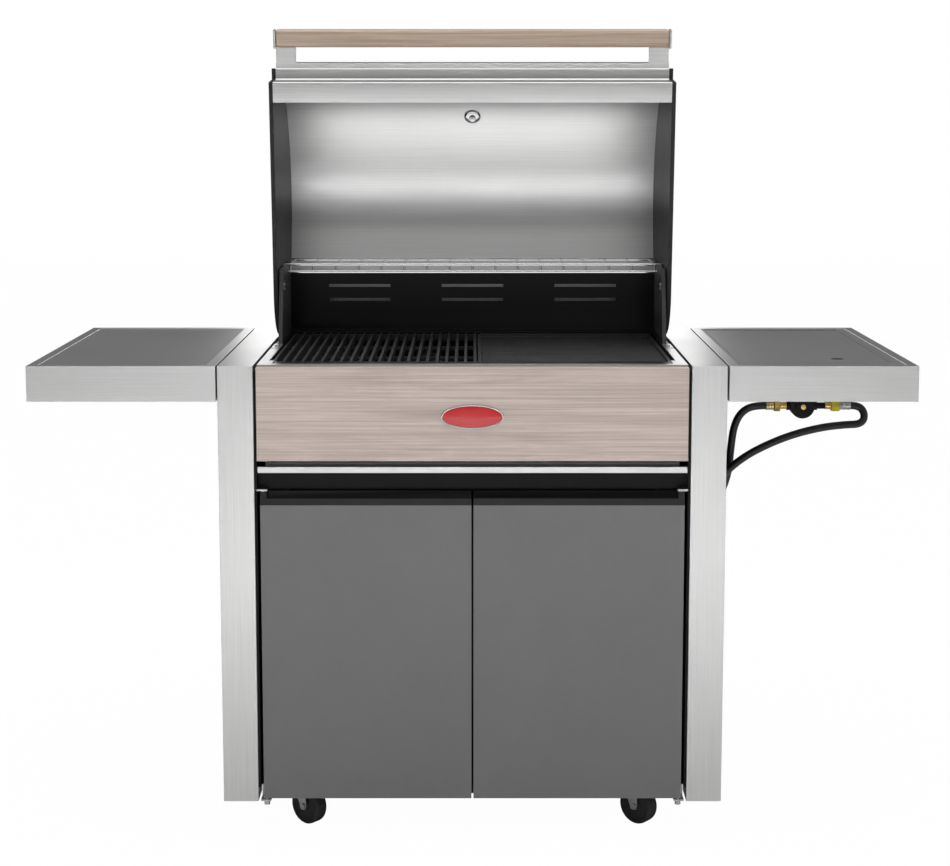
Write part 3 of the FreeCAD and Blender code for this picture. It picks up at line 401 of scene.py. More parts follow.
@dataclass(frozen=True)
class Moulded(Finish):
    """Rubber or moulded plastic."""

    colour: Colour = (0.018, 0.018, 0.019)
    rough: float = 0.5
    grain: float = 1500.0
    relief: float = 0.00006

    def dress(self, kit: Nodes, shader: bpy.types.Node) -> None:
        """A fine moulded grain, with dusty patches that are lighter and duller."""
        grain = kit.stretched_noise((self.grain,) * 3, 3.0, 0.6)
        dust = add_wear(kit, 18.0, 1.0)
        dusty = tuple(1.9 * channel for channel in self.colour)
        kit.link(kit.ramp(dust, [(0.35, self.colour), (0.85, dusty)]), shader.inputs["Base Color"])
        rough = kit.spread(dust, 0.3, 0.7, self.rough - 0.07, self.rough + 0.07)
        kit.link(rough, shader.inputs["Roughness"])
        self.bump(kit, shader, grain, self.relief, 0.45)


STEEL_UP = BrushedSteel("steel_brushed_up")
STEEL_ACROSS = BrushedSteel("steel_brushed_across", along=Axis.X)
STEEL_DEEP = BrushedSteel("steel_brushed_deep", along=Axis.Y)
HOOD_STEEL = BrushedSteel("steel_hood", tint=(0.66, 0.66, 0.655), along=Axis.X, rough=0.33)
DOOR_PAINT = Paint("paint_graphite", colour=(0.166, 0.166, 0.165), rough=0.40)
PANEL_PAINT = Paint("paint_shelf_panel", colour=(0.165, 0.165, 0.167), rough=0.42)
HOOD_END_PAINT = Paint("paint_hood_ends", colour=(0.022, 0.022, 0.023), rough=0.5, shine=0.25)
# Cheeks: the same black enamel as the cooktop frame and back wall, painted lighter to stand in for the
# light on their sides (painted light).
CHEEK_LIT_ENAMEL = Paint("enamel_cheeks_painted_light", colour=(0.045, 0.045, 0.046), rough=0.45)
ENAMEL = Paint("enamel_black", colour=(0.0035, 0.0035, 0.004), rough=0.36, coat=0.08, shine=0.22)
BLACK_SATIN = Paint("paint_black", colour=(0.004, 0.004, 0.0045), rough=0.5, shine=0.2)
GRIP_GLOSS = Paint("grip_black_gloss", colour=(0.003, 0.003, 0.0033), rough=0.24, coat=0.04, shine=0.2)
IRON = CastIron("cast_iron_plate", colour=(0.016, 0.016, 0.017))
LAMINATE = WoodGrain("laminate_pale")
HANDLE_WOOD = WoodGrain("handle_ash", pale=(0.56, 0.45, 0.36), middle=(0.49, 0.38, 0.29),
                        dark=(0.33, 0.24, 0.17), rings=60.0)
CHROME = PlainMetal("chrome_polished", colour=(0.60, 0.60, 0.61), rough=0.14)
ZINC = PlainMetal("zinc_plate", colour=(0.50, 0.50, 0.51), rough=0.32)
BRASS = PlainMetal("brass_fitting", colour=(0.72, 0.50, 0.17), rough=0.25)
PALE_BRASS = PlainMetal("brass_ferrule", colour=(0.80, 0.66, 0.36), rough=0.28)
YELLOW_NUT = Paint("nut_yellow", colour=(0.72, 0.60, 0.05), rough=0.35)
HOSE_RUBBER = Moulded("hose_rubber", colour=(0.007, 0.007, 0.009), rough=0.38)
TYRE_RUBBER = Moulded("wheel_rubber", colour=(0.016, 0.016, 0.017), rough=0.48)
KNOB_PLASTIC = Moulded("knob_plastic", colour=(0.014, 0.014, 0.015), rough=0.36)
RED_ENAMEL = Paint("enamel_red", colour=(0.62, 0.015, 0.018), rough=0.30, coat=0.25, relief=0.00001)


# ---------------------------------------------------------------- mesh tools
class Surface:
    """Collects grids of points and turns them into one closed mesh."""

    def __init__(self) -> None:
        """Start empty."""
        self.points: list[np.ndarray] = []
        self.faces: list[list[int]] = []
        self.count = 0

    def grid(self, points: np.ndarray, wrap_rows: bool = False) -> "Surface":
        """Add a grid of quads whose last column joins the first.

        Args:
            points: Array of rows, columns and 3 coordinates.
            wrap_rows: Join the last row to the first; otherwise a face closes each end row.

        Returns:
            This surface.
        """
        rows, columns = points.shape[:2]
        index = np.arange(rows * columns).reshape(rows, columns) + self.count
        here = index if wrap_rows else index[:-1]
        down = np.roll(index, -1, axis=0) if wrap_rows else index[1:]
        quads = np.stack([here, np.roll(here, -1, axis=1), np.roll(down, -1, axis=1), down], axis=-1)
        self.faces += quads.reshape(-1, 4).tolist()
        if not wrap_rows:
            self.faces += [index[0][::-1].tolist(), index[-1].tolist()]
        self.points.append(points.reshape(-1, 3))
        self.count += rows * columns
        return self

    def build(self, name: str, finish: Finish, sharp_angle: float = 32.0) -> bpy.types.Object:
        """Make the object, merge doubles and point the faces outwards.

        Args:
            name: The piece's name.
            finish: Its material.
            sharp_angle: Edges that turn more than this stay sharp, in degrees.

        Returns:
            The new object at the origin.
        """
        mesh = bpy.data.meshes.new(name)
        mesh.from_pydata(np.concatenate(self.points).tolist(), [], self.faces)
        settle(mesh)
        mesh.shade_smooth()
        mesh.set_sharp_from_angle(angle=math.radians(sharp_angle))
        piece = bpy.data.objects.new(name, mesh)
        bpy.context.scene.collection.objects.link(piece)
        mesh.materials.append(finish.material())
        return piece


def settle(mesh: bpy.types.Mesh, flatten: bool = False) -> None:
    """Merge doubles and turn the faces outwards.

    Args:
        mesh: The mesh to clean.
        flatten: Also dissolve the triangle edges inside flat faces.
    """
    work = bmesh.new()
    work.from_mesh(mesh)
    bmesh.ops.remove_doubles(work, verts=work.verts, dist=0.000005)
    if flatten:
        bmesh.ops.dissolve_limit(work, angle_limit=math.radians(1.0), verts=work.verts, edges=work.edges)
    bmesh.ops.recalc_face_normals(work, faces=work.faces)
    work.to_mesh(mesh)
    work.free()


def rounded_ring(half_a: float, half_b: float, radius: float, steps: int) -> np.ndarray:
    """Closed rounded rectangle: four quarter circles of one radius about the inset corners.

    Args:
        half_a: Half size along the first direction.
        half_b: Half size along the second direction.
        radius: Corner radius.
        steps: Segments in each corner.

    Returns:
        Array of points in the plane.
    """
    radius = max(min(radius, half_a, half_b), 1e-6)
    quarter = np.linspace(0.0, math.pi / 2, steps + 1)
    turns = (quarter[None, :] + np.arange(4)[:, None] * math.pi / 2).ravel()
    signs = np.repeat(np.array([[1, 1], [-1, 1], [-1, -1], [1, -1]]), steps + 1, axis=0)
    centres = signs * np.array([half_a - radius, half_b - radius])
    return centres + radius * np.stack([np.cos(turns), np.sin(turns)], axis=1)


def block_grid(low: Sequence[float], high: Sequence[float], axis: Axis, radius: float,
               steps: int = 3) -> np.ndarray:
    """Bar with every edge rounded, as rings along one axis.

    Near each end the ring is inset by radius times 1 minus the sine of an angle while it moves
    out by radius times 1 minus its cosine, which rolls the side into the end face.

    Args:
        low: Lowest corner in metres.
        high: Highest corner in metres.
        axis: Direction of the bar.
        radius: Edge radius.
        steps: Segments in each rounding.

    Returns:
        Grid of rings.
    """
    low, high = np.asarray(low, float), np.asarray(high, float)
    main = axis.value
    side = [i for i in range(3) if i != main]
    half = (high - low) / 2
    middle = (high + low) / 2
    bend = np.linspace(0.0, math.pi / 2, steps + 1)
    inset = radius * (1 - np.sin(bend))
    along = radius * (1 - np.cos(bend))
    insets = np.concatenate([inset, inset[::-1]])
    places = np.concatenate([low[main] + along, (high[main] - along)[::-1]])
    rings = np.stack([rounded_ring(half[side[0]] - d, half[side[1]] - d, radius + 1e-5 - d * 0.98, steps)
                      for d in insets])
    points = np.empty((*rings.shape[:2], 3))
    points[..., main] = places[:, None]
    points[..., side[0]] = middle[side[0]] + rings[..., 0]
    points[..., side[1]] = middle[side[1]] + rings[..., 1]
    return points


def lathe_grid(profile: Sequence[tuple[float, float]], foot: Point, axis: Sequence[float],
               segments: int = 48) -> np.ndarray:
    """Surface of revolution: each radius and height of the profile turned about an axis.

    Args:
        profile: Radius and height pairs in metres, from one end to the other.
        foot: Point where the height is 0.
        axis: Direction of the axis.
        segments: Steps round the circle.

    Returns:
        Grid with a row for each profile point.
    """
    pairs = np.asarray(profile, float)
    axis = np.asarray(axis, float) / np.linalg.norm(axis)
    helper = np.array([0.0, 0.0, 1.0]) if abs(axis[2]) < 0.9 else np.array([1.0, 0.0, 0.0])
    first = np.cross(axis, helper)
    first /= np.linalg.norm(first)
    second = np.cross(axis, first)
    turn = np.linspace(0, 2 * math.pi, segments, endpoint=False)
    ring = np.cos(turn)[:, None] * first + np.sin(turn)[:, None] * second
    return (np.asarray(foot) + pairs[:, 1, None, None] * axis + pairs[:, 0, None, None] * ring[None])


def round_corners(points: Sequence[tuple[float, float]], radius: float, steps: int = 5) -> np.ndarray:
    """Open outline with each inner corner turned into an arc of one radius.

    The arc is a quadratic blend between the two points where it leaves the straight runs.

    Args:
        points: Corners in the plane.
        radius: Distance from a corner to the blend's ends.
        steps: Segments in a blend.

    Returns:
        Array of points.
    """
    corners = np.asarray(points, float)
    t = np.linspace(0, 1, steps + 1)[:, None]
    parts = [corners[:1]]
    for before, corner, after in zip(corners, corners[1:], corners[2:]):
        run_in, run_out = before - corner, after - corner
        start = corner + run_in / np.linalg.norm(run_in) * min(radius, 0.45 * np.linalg.norm(run_in))
        end = corner + run_out / np.linalg.norm(run_out) * min(radius, 0.45 * np.linalg.norm(run_out))
        parts.append((1 - t) ** 2 * start + 2 * t * (1 - t) * corner + t ** 2 * end)
    parts.append(corners[-1:])
    return np.concatenate(parts)


def sheet_grid(line: np.ndarray, thickness: float, x0: float, x1: float) -> np.ndarray:
    """Folded sheet across X: a line in Y and Z, and the same line set off along its normals.

    Args:
        line: Points of the sheet's outer face.
        thickness: Distance to the inner face, to the right of the line's direction.
        x0: First place along X.
        x1: Last place along X.

    Returns:
        Grid with a row for each point and its four corners as columns.
    """
    run = np.gradient(line, axis=0)
    run /= np.linalg.norm(run, axis=1)[:, None]
    inner = line + np.stack([run[:, 1], -run[:, 0]], axis=1) * thickness
    points = np.empty((len(line), 4, 3))
    points[:, :, 0] = np.array([x0, x1, x1, x0])
    points[:, :2, 1:] = line[:, None]
    points[:, 2:, 1:] = inner[:, None]
    return points


def show(piece: bpy.types.Object, body: str, slot: str, *nodes: str) -> bpy.types.Object:
    """Hang a finished piece on the body it rides on, log that, and hide the frame nodes it stands for.

    Args:
        piece: The new object.
        body: Body that it moves with.
        slot: Material slot of the record; not used.
        nodes: Frame nodes that it replaces.

    Returns:
        The piece.
    """
    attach(piece, body)
    if nodes:
        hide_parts(*nodes)
    LOG.info("%s rides on %s", piece.name, body)
    return piece


def dress_node(node: str, finish: Finish) -> None:
    """Give a frame node a better material."""
    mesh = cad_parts[node].data
    mesh.materials.clear()
    mesh.materials.append(finish.material())


def soften(node: str, body: str, slot: str, finish: Finish, radius: float = 0.8) -> bpy.types.Object:
    """Stand a copy of a frame node in its place, with its edges rolled over.

    Args:
        node: The frame node.
        body: Body that it moves with.
        slot: Material slot of the record; passed on to show, which doesn't use it.
        finish: The copy's material.
        radius: Edge radius in millimetres.

    Returns:
        The new object.
    """
    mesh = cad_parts[node].data.copy()
    mesh.name = node + "_formed"
    settle(mesh, flatten=True)
    mesh.materials.clear()
    mesh.materials.append(finish.material())
    mesh.shade_smooth()
    mesh.set_sharp_from_angle(angle=math.radians(32))
    piece = bpy.data.objects.new(node + "_formed", mesh)
    bpy.context.scene.collection.objects.link(piece)
    rolled = piece.modifiers.new("rolled_edges", "BEVEL")
    rolled.width = radius * MM
    rolled.segments = 2
    rolled.limit_method = "ANGLE"
    rolled.angle_limit = math.radians(40)
    rolled.harden_normals = True
    return show(piece, body, slot, node)


# ---------------------------------------------------------------- studio
@dataclass(frozen=True)
class SoftBox:
    """Soft rectangular light that the camera doesn't see; sizes in metres and power in watts."""

    name: str
    place: Point
    aim: Point
    width: float
    height: float
    power: float
    spread: float = 180.0

    def build(self) -> None:
        """Hang the light and turn it to its aim."""
        data = bpy.data.lights.new(self.name, "AREA")
        data.shape = "RECTANGLE"
        data.size, data.size_y, data.energy = self.width, self.height, self.power
        data.spread = math.radians(self.spread)
        lamp = bpy.data.objects.new(self.name, data)
        lamp.visible_camera = False
        lamp.location = self.place
        lamp.rotation_euler = (Vector(self.aim) - Vector(self.place)).to_track_quat("-Z", "Y").to_euler()
        bpy.context.scene.collection.objects.link(lamp)


SOFT_BOXES = (
    SoftBox("floor_pool", (0.0, -3.2, 4.0), (0.0, -4.0, 0.0), 1.2, 1.2, 85.0, 84.0),
    SoftBox("top_box", (0.0, -0.8, 3.8), (0.0, 0.0, 0.5), 3.0, 1.6, 38.0),
    SoftBox("left_box", (-3.8, -1.6, 2.2), (0.0, 0.0, 0.8), 2.0, 2.2, 12.0),
    SoftBox("right_box", (3.8, -1.6, 2.2), (0.0, 0.0, 0.8), 2.0, 2.2, 12.0),
    SoftBox("hood_glow", (0.0, 0.06, 0.93), (0.0, 0.12, 1.5), 0.74, 0.40, 0.76, 125.0),
    SoftBox("back_card", (0.0, 2.2, 1.35), (0.0, 0.0, 1.35), 1.5, 0.8, 8.5),
)


@dataclass
class Studio:
    """Camera, floor, soft lights and surroundings.

    The levels are brightnesses that reflections see: a window in front, the ceiling, the sides and
    a band above the window. floor_lift is how far the camera sees the floor moved towards white.
    """

    eye: Point = (0.0, -3.7299, 1.3605)
    pitch: float = 6.989
    lens: float = 70.65
    shift: tuple[float, float] = (0.0027, -0.096)
    window_level: float = 0.14
    ceiling_level: float = 0.75
    side_level: float = 0.10
    band_level: float = 0.45
    floor_lift: float = 0.985
    floor_half: float = 14.0

    def camera(self) -> None:
        """Place the camera straight in front, looking slightly down."""
        data = bpy.data.cameras.new("camera")
        data.lens = self.lens
        data.sensor_width = 36.0
        data.shift_x, data.shift_y = self.shift
        camera = bpy.data.objects.new("camera", data)
        camera.location = self.eye
        camera.rotation_euler = (math.radians(90 - self.pitch), 0.0, 0.0)
        bpy.context.scene.collection.objects.link(camera)
        bpy.context.scene.camera = camera

    def floor(self) -> None:
        """Lay a pale floor; the camera sees it lifted towards white, so shadows stay faint."""
        mesh = bpy.data.meshes.new("floor")
        half = self.floor_half
        mesh.from_pydata([(-half, -half, 0), (half, -half, 0), (half, half, 0), (-half, half, 0)],
                         [], [(0, 1, 2, 3)])
        floor = bpy.data.objects.new("floor", mesh)
        bpy.context.scene.collection.objects.link(floor)
        made = bpy.data.materials.new("floor_pale")
        made.use_nodes = True
        shader = made.node_tree.nodes["Principled BSDF"]
        shader.inputs["Base Color"].default_value = (0.90, 0.90, 0.90, 1.0)
        shader.inputs["Roughness"].default_value = 0.9
        kit = Nodes(made.node_tree)
        glow = kit.add("ShaderNodeEmission", Color=(1.0, 1.0, 1.0, 1.0), Strength=1.0)
        path = kit.add("ShaderNodeLightPath")
        mix = kit.add("ShaderNodeMixShader")
        kit.link(kit.math("MULTIPLY", path.outputs["Is Camera Ray"], self.floor_lift), mix.inputs[0])
        kit.link(shader.outputs[0], mix.inputs[1])
        kit.link(glow.outputs[0], mix.inputs[2])
        kit.link(mix.outputs[0], made.node_tree.nodes["Material Output"].inputs[0])
        mesh.materials.append(made)

    def world(self) -> None:
        """White backdrop; reflections see it bright in front and above, dim at the sides and behind."""
        world = bpy.data.worlds.new("studio")
        world.use_nodes = True
        bpy.context.scene.world = world
        kit = Nodes(world.node_tree)
        world.node_tree.nodes.clear()
        coords = kit.add("ShaderNodeTexCoord")
        split = kit.add("ShaderNodeSeparateXYZ")
        kit.link(coords.outputs["Generated"], split.inputs[0])
        across, deep, up = split.outputs
        forward = kit.spread(deep, -0.85, 0.05, 1.0, 0.0)
        middle = kit.spread(kit.math("ABSOLUTE", across, 0.0), 0.14, 0.46, 1.0, 0.0)
        window = kit.math("MULTIPLY", kit.math("MULTIPLY", forward, middle), self.window_level)
        ceiling = kit.spread(up, 0.35, 0.95, 0.0, self.ceiling_level)
        rise = kit.math("MULTIPLY", kit.spread(up, 0.36, 0.46, 0.0, self.band_level),
                        kit.spread(up, 0.56, 0.66, 1.0, 0.0))
        band = kit.math("MULTIPLY", rise, kit.spread(deep, -0.7, -0.4, 1.0, 0.0))
        tone = kit.math("ADD", kit.math("ADD", kit.math("ADD", window, ceiling), band), self.side_level)
        surround = kit.add("ShaderNodeBackground", Strength=1.0)
        kit.link(tone, surround.inputs["Color"])
        white = kit.add("ShaderNodeBackground", Color=(1, 1, 1, 1), Strength=1.0)
        path = kit.add("ShaderNodeLightPath")
        mix = kit.add("ShaderNodeMixShader")
        output = kit.add("ShaderNodeOutputWorld")
        kit.link(path.outputs["Is Camera Ray"], mix.inputs[0])
        kit.link(surround.outputs[0], mix.inputs[1])
        kit.link(white.outputs[0], mix.inputs[2])
        kit.link(mix.outputs[0], output.inputs[0])

    def build(self) -> None:
        """Make everything round the object."""
        bpy.context.scene.view_settings.view_transform = "Standard"
        self.camera()
        self.floor()
        self.world()
        for box in SOFT_BOXES:
            box.build()


# ---------------------------------------------------------------- gas line
@dataclass
class GasLine:
    """Two hoses, regulator and fittings under the right shelf."""

    radius: float = 7.5
    line_y: float = 280.0
    line_z: float = 783.0
    nut_reach: float = 12.12
    route_a: list[Point] = field(default_factory=lambda: [
        (458, 300, 572), (494, 294, 592), (512, 286, 640), (516, 281, 700), (521, 280, 742),
        (535, 280, 770), (559, 280, 783), (584, 280, 783)])
    route_b: list[Point] = field(default_factory=lambda: [
        (752, 280, 783), (767, 280, 783), (778, 276, 773), (779, 270, 758), (768, 264, 748),
        (740, 259, 748), (695, 255, 744), (640, 254, 731), (588, 254, 711), (540, 256, 685),
        (500, 261, 650), (458, 268, 602)])

    def hose(self, name: str, node: str, route: list[Point]) -> None:
        """Lay one hose along its route as a smooth curve.

        Args:
            name: The piece's name.
            node: Frame node that it stands for.
            route: Route points in millimetres.
        """
        curve = bpy.data.curves.new(name, "CURVE")
        curve.dimensions = "3D"
        spline = curve.splines.new("NURBS")
        spline.points.add(len(route) - 1)
        places = np.array([(*at(*point), 1.0) for point in route])
        spline.points.foreach_set("co", places.ravel())
        spline.order_u = 3
        spline.use_endpoint_u = True
        spline.resolution_u = 12
        curve.bevel_depth = self.radius * MM
        curve.bevel_resolution = 6
        curve.use_fill_caps = True
        piece = bpy.data.objects.new(name, curve)
        bpy.context.scene.collection.objects.link(piece)
        curve.materials.append(HOSE_RUBBER.material())
        show(piece, "trolley", "rubber", node)

    def nut(self, length: float, face: float = 10.7, chamfer: float = 1.1) -> list[tuple[float, float]]:
        """Profile of a nut with chamfered corners, 21 mm across its flats."""
        return [(face, 0.0), (self.nut_reach, chamfer), (self.nut_reach, length - chamfer), (face, length)]

    @staticmethod
    def adapter(radius: float, length: float, chamfer: float = 0.6) -> list[tuple[float, float]]:
        """Profile of a round adapter with chamfered ends."""
        inner = radius - chamfer
        return [(inner, 0.0), (radius, chamfer), (radius, length - chamfer), (inner, length)]

    @staticmethod
    def ferrule(radius: float, length: float, mouth: float) -> list[tuple[float, float]]:
        """Profile of a crimped ferrule: four ribs with three grooves between narrow mouths.

        Args:
            radius: Radius over the ribs.
            length: Length along the line.
            mouth: Radius at both ends.

        Returns:
            Radius and height pairs.
        """
        ribs = [(9.0, 0.6), (9.0, 3.0), (8.4, 3.7), (8.4, 5.0), (9.0, 5.7), (9.0, 8.0), (8.4, 8.7),
                (8.4, 10.0), (9.0, 10.7), (9.0, 14.5)]
        crimped = [(rib * radius / 9.0, height * length / 15.0) for rib, height in ribs]
        return [(mouth, 0.0), *crimped, (mouth, length)]

    def fitting(self, name: str, finish: Finish, start: float, profile: list[tuple[float, float]],
                sides: int = 40) -> None:
        """Turn a fitting about the gas line.

        Args:
            name: The piece's name.
            finish: Its material.
            start: Its end nearest the panel, in millimetres.
            profile: Radius and height pairs in millimetres.
            sides: Steps round it; 6 makes a hexagon.
        """
        closed = np.array([(0.01, profile[0][1]), *profile, (0.01, profile[-1][1])]) * MM
        points = lathe_grid(closed, at(start, self.line_y, self.line_z), (1, 0, 0), sides)
        show(Surface().grid(points).build(name, finish), "trolley", "brass", "gas_fittings")

    def build(self) -> None:
        """Make the hoses, the regulator and the fittings."""
        self.hose("gas_hose_inner", "hose_a", self.route_a)
        self.hose("gas_hose_outer", "hose_b", self.route_b)
        soften("hose_grommet", "trolley", "rubber", HOSE_RUBBER, 1.0)
        soften("regulator", "trolley", "black_metal", BLACK_SATIN, 0.9)
        self.fitting("ferrule_inner", PALE_BRASS, 584, self.ferrule(9.0, 15.0, 8.3))
        self.fitting("nut_inner", BRASS, 599, self.nut(13.0), 6)
        self.fitting("adapter_inner", BRASS, 612, self.adapter(7.0, 13.0))
        self.fitting("adapter_outer", BRASS, 701, self.adapter(7.5, 12.0))
        self.fitting("nut_outer", YELLOW_NUT, 713, self.nut(17.0), 6)
        self.fitting("ferrule_outer", ZINC, 730, self.ferrule(8.5, 22.0, 7.8))
        cap = lathe_grid(np.array([(0.01, 0.0), (5.5, 0.0), (5.5, 2.6), (4.6, 3.4), (0.01, 3.6)]) * MM,
                         at(655, 261, self.line_z), (0, -1, 0))
        show(Surface().grid(cap).build("regulator_cap", BRASS), "trolley", "brass")


# ---------------------------------------------------------------- trolley and shelves
@dataclass
class Trolley:
    """Frames, panels, doors and side shelves."""

    frame_edge: float = 1.2
    panel_edge: float = 0.6
    fold_low: Point = (-392.0, 24.0, 78.0)
    fold_high: Point = (392.0, 26.0, 98.0)

    def build(self) -> None:
        """Roll the edges of the pieces that show, turn the floor's front edge down and dress the rest."""
        for side in ("left", "right"):
            soften("side_frame_" + side, "trolley", "stainless", STEEL_UP, self.frame_edge)
            soften("shelf_frame_" + side, "trolley", "stainless", STEEL_ACROSS, 1.0)
            soften("door_" + side, side + "_door", "dark_paint", DOOR_PAINT, 1.0)
            soften("door_grip_" + side, side + "_door", "gloss_grip", GRIP_GLOSS, 0.8)
        soften("shelf_panel_left", "trolley", "dark_paint", PANEL_PAINT, self.panel_edge)
        soften("shelf_panel_right", "trolley", "dark_paint", PANEL_PAINT, 0.5)
        soften("side_burner_cover", "burner_lid", "dark_paint", PANEL_PAINT, 0.5)
        # The shelf brackets are black satin like the side panels; their black also fills the dark line
        # between each shelf and its side frame, which is shadow, so it is partly painted shade.
        for node in ("side_panels", "cabinet_sides", "cabinet_back", "chassis_floor",
                     "front_crossbar", "control_panel", "shelf_brackets"):
            dress_node(node, BLACK_SATIN)
        fold = block_grid(at(*self.fold_low), at(*self.fold_high), Axis.X, 0.4 * MM)
        show(Surface().grid(fold).build("chassis_front_fold", BLACK_SATIN), "trolley", "black_metal")
        dress_node("door_hinges", ZINC)
        dress_node("side_burner", STEEL_DEEP)
        dress_node("side_burner_trivet", IRON)


# ---------------------------------------------------------------- cooking surface
@dataclass
class Cooktop:
    """Cooking plates, the trims round them, the tray and everything under them."""

    casting_edge: float = 1.0

    def build(self) -> None:
        """Roll the edges of castings and trims and dress the hidden parts."""
        soften("grease_tray", "tray", "stainless", STEEL_ACROSS, 0.3)
        soften("cooktop_trims", "trolley", "stainless", STEEL_ACROSS, 0.5)
        soften("cooktop_frame", "trolley", "black_enamel", ENAMEL, 0.8)
        soften("back_wall", "trolley", "black_enamel", ENAMEL, 0.5)
        # The cheeks get the lighter copy of the black enamel: painted light on their sides.
        soften("cheeks", "trolley", "black_enamel", CHEEK_LIT_ENAMEL, 0.4)
        soften("grill_plate", "grill_grid", "cast_iron", IRON, self.casting_edge)
        soften("hotplate", "flat_plate", "cast_iron", IRON, self.casting_edge)
        dress_node("firebox", ENAMEL)
        dress_node("warming_rack", CHROME)
        dress_node("hood_pivot_bolts", CHROME)
        for node in ("flame_tamers", "burners"):
            dress_node(node, STEEL_DEEP)


# ---------------------------------------------------------------- fascia and controls
@dataclass
class Fascia:
    """Wood-faced flap with its oval badge, and the controls behind it."""

    half_width: float = 58.0
    half_height: float = 23.0
    centre_z: float = 806.0

    def oval(self, insets: np.ndarray, depths: np.ndarray) -> np.ndarray:
        """Rows of ovals facing the front.

        Each row is the badge's oval with both half-axes less by an inset, at a depth.

        Args:
            insets: Millimetres off each half-axis.
            depths: Millimetres in front of the flap, as negative numbers.

        Returns:
            Grid in row metres.
        """
        turn = np.linspace(0, 2 * math.pi, 96, endpoint=False)
        points = np.empty((len(insets), len(turn), 3))
        points[..., 0] = (self.half_width - insets)[:, None] * np.cos(turn) * MM
        points[..., 1] = FRONT_Y + depths[:, None] * MM
        points[..., 2] = (self.centre_z + (self.half_height - insets)[:, None] * np.sin(turn)) * MM
        return points

    def build(self) -> None:
        """Make the flap, the badge's rolled rim and domed face, and the knobs."""
        soften("fascia", "fascia_flap", "fascia_wood", LAMINATE, 1.5)
        rim = self.oval(np.array([0, 0, 0.3, 1.0, 1.9, 2.7, 3.1, 3.1]),
                        np.array([-0.02, -1.9, -2.6, -3.0, -3.0, -2.6, -1.8, -0.02]))
        ring = Surface().grid(rim, wrap_rows=True).build("badge_rim", CHROME)
        show(ring, "fascia_flap", "chrome", "badge")
        across = np.linspace(0.0, 1.0, 9)
        face = self.oval(3.1 + 19.7 * across, -1.5 - 0.9 * np.sin(across * math.pi / 2))
        face = np.concatenate([self.oval(np.array([3.1]), np.array([-0.1])), face])
        dome = Surface().grid(face).build("badge_face", RED_ENAMEL)
        show(dome, "fascia_flap", "chrome", "badge")
        for number in range(1, 6):
            soften(f"knob_{number}", f"control_{number}", "black_plastic", KNOB_PLASTIC, 1.2)
        dress_node("gas_valves", BRASS)


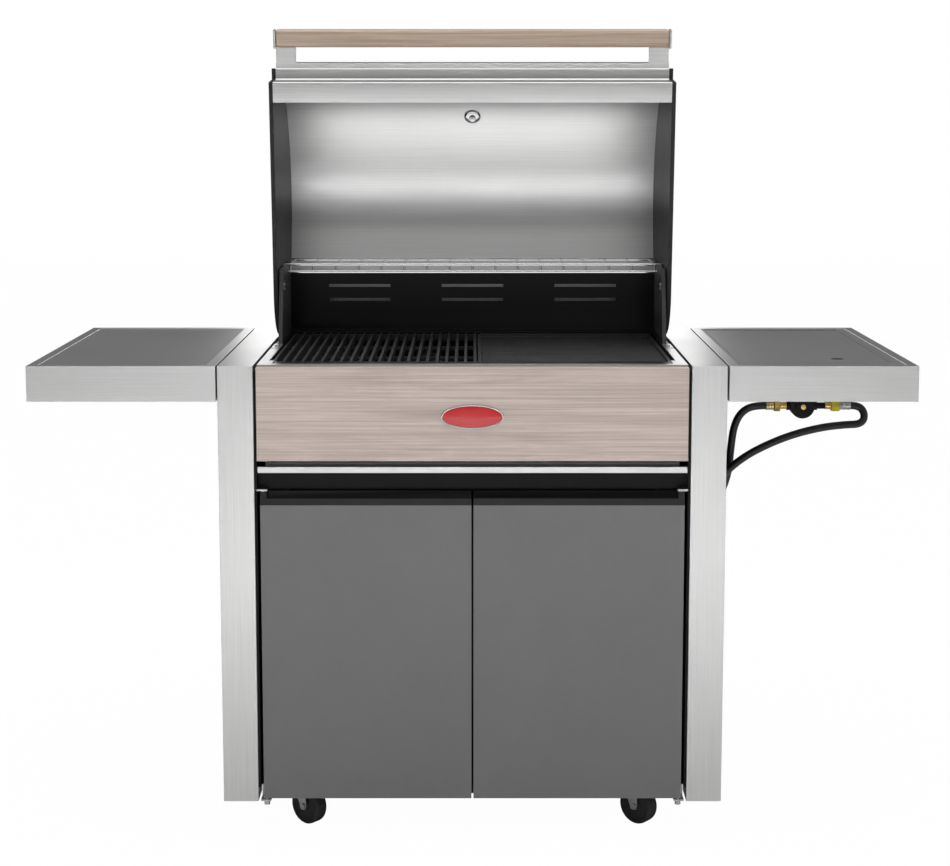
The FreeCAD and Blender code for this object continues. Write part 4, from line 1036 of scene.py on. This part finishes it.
# ---------------------------------------------------------------- hood
@dataclass
class Hood:
    """Curved hood with its ends, handle and gauge, drawn closed and turned open about its pivot."""

    pivot: tuple[float, float] = (465.0, 1005.0)
    opened: float = 84.0
    centre: tuple[float, float] = (300.0, 957.0)
    radius: float = 286.0
    curve_end: float = 106.5
    half: float = 394.0
    sheet: float = 1.5
    gauge_angle: float = 54.0
    bar_low: Point = (-393.9, -62.0, 972.0)
    bar_high: Point = (393.9, -27.0, 1002.0)

    def turned(self, points: np.ndarray) -> np.ndarray:
        """Turn closed-hood millimetres to the open rest place in row metres."""
        angle = math.radians(self.opened)
        back = points[..., 1] - self.pivot[0]
        up = points[..., 2] - self.pivot[1]
        out = np.empty_like(points)
        out[..., 0] = points[..., 0] * MM
        out[..., 1] = FRONT_Y + (self.pivot[0] + math.cos(angle) * back + math.sin(angle) * up) * MM
        out[..., 2] = (self.pivot[1] - math.sin(angle) * back + math.cos(angle) * up) * MM
        return out

    def arc(self, angles: np.ndarray) -> np.ndarray:
        """Points round the hood's curve; 0 degrees faces forward."""
        turn = np.radians(angles)
        return np.stack([self.centre[0] - self.radius * np.cos(turn),
                         self.centre[1] + self.radius * np.sin(turn)], axis=1)

    def skin(self) -> None:
        """Fold one sheet from the lip's flange over the ledge and round the curve to the flat back."""
        folds = [(76.0, 905.0), (36.0, 905.0), (36.0, 968.0), (14.2, 968.0),
                 tuple(self.arc(np.array([5.0]))[0])]
        curve = self.arc(np.linspace(6.0, self.curve_end, 70))
        flat = np.linspace(curve[-1], (562.0, 1168.0), 12)[1:]
        line = np.concatenate([round_corners(folds, 3.0), curve, flat])
        points = sheet_grid(line, self.sheet, -self.half, self.half)
        shell = Surface().grid(self.turned(points)).build("hood_shell", HOOD_STEEL)
        show(shell, "hood", "stainless", "hood_skin")

    def handle(self) -> None:
        """Round the wooden bar's edges."""
        points = block_grid(self.bar_low, self.bar_high, Axis.X, 5.0, 5)
        bar = Surface().grid(self.turned(points)).build("handle_bar", HANDLE_WOOD)
        show(bar, "hood", "handle_wood", "hood_handle")

    def gauge(self) -> None:
        """Turn the dial, its stem, the domed washer and the nut about a line square to the curve."""
        turn = math.radians(self.gauge_angle)
        profile = [(0.01, -14.0), (3.8, -14.0), (4.5, -13.3), (4.5, -12.5), (6.4, -12.5), (7.0, -11.9),
                   (7.0, -7.9), (10.0, -7.8), (14.5, -7.0), (16.8, -5.4), (17.5, -3.8), (17.5, -1.9),
                   (4.5, -1.8), (4.5, 0.4), (28.5, 0.4), (30.0, 1.9), (30.0, 9.6), (29.0, 11.0),
                   (27.0, 11.0), (26.0, 9.8), (0.01, 9.4)]
        foot = (0.0, *self.arc(np.array([self.gauge_angle]))[0])
        points = lathe_grid(profile, foot, (0.0, -math.cos(turn), math.sin(turn)), 56)
        gauge = Surface().grid(self.turned(points)).build("gauge_body", CHROME)
        show(gauge, "hood", "chrome", "hood_gauge")

    def build(self) -> None:
        """Make the hood's pieces."""
        self.skin()
        self.handle()
        self.gauge()
        soften("hood_ends", "hood", "hood_casting", HOOD_END_PAINT, 1.2)
        soften("handle_brackets", "hood", "stainless", STEEL_ACROSS, 0.6)


# ---------------------------------------------------------------- casters
@dataclass
class Casters:
    """Four swivel casters with turned wheels."""

    spread_x: float = 318.0
    lean_x: float = -8.0
    rows: dict[str, float] = field(default_factory=lambda: {"front": 88.0, "back": 536.0})
    yaw: float = -40.0
    trail: float = 14.0
    wheel: float = 36.0

    def build(self) -> None:
        """Turn each wheel about its axle and roll the forks' edges.

        The wheel's profile is a closed loop of radius and width, from the hub over the tyre's
        rounded shoulders and back, carried round the axle.
        """
        half_loop = [(3.1, 14.4), (8.4, 14.4), (9.0, 13.8), (9.6, 11.2), (25.0, 10.2), (27.0, 10.8),
                     (28.6, 12.8), (32.4, 13.0), (34.4, 12.2), (35.6, 10.6), (36.0, 8.4), (36.0, 3.0)]
        loop = np.array(half_loop + [(radius, -width) for radius, width in reversed(half_loop)]) * MM
        turn = math.radians(self.yaw)
        for row, y in self.rows.items():
            for side, sign in (("left", -1), ("right", 1)):
                place = f"{row}_{side}"
                hub = at(sign * self.spread_x + self.lean_x + self.trail * math.cos(turn),
                         y + self.trail * math.sin(turn), self.wheel)
                points = lathe_grid(loop, hub, (-math.sin(turn), math.cos(turn), 0.0), 64)
                wheel = Surface().grid(points, wrap_rows=True).build("wheel_" + place, TYRE_RUBBER)
                show(wheel, "wheel_" + place, "wheel_rubber", "caster_wheel_" + place)
                soften("caster_fork_" + place, "swivel_" + place, "chrome", ZINC, 0.5)
        dress_node("caster_plates", ZINC)


def main() -> None:
    """Build every sub-assembly in order."""
    logging.basicConfig(level=logging.INFO)
    for part in (Studio(), GasLine(), Trolley(), Cooktop(), Fascia(), Hood(), Casters()):
        part.build()
        LOG.info("built %s", type(part).__name__)


if __name__ == "__main__":
    main()
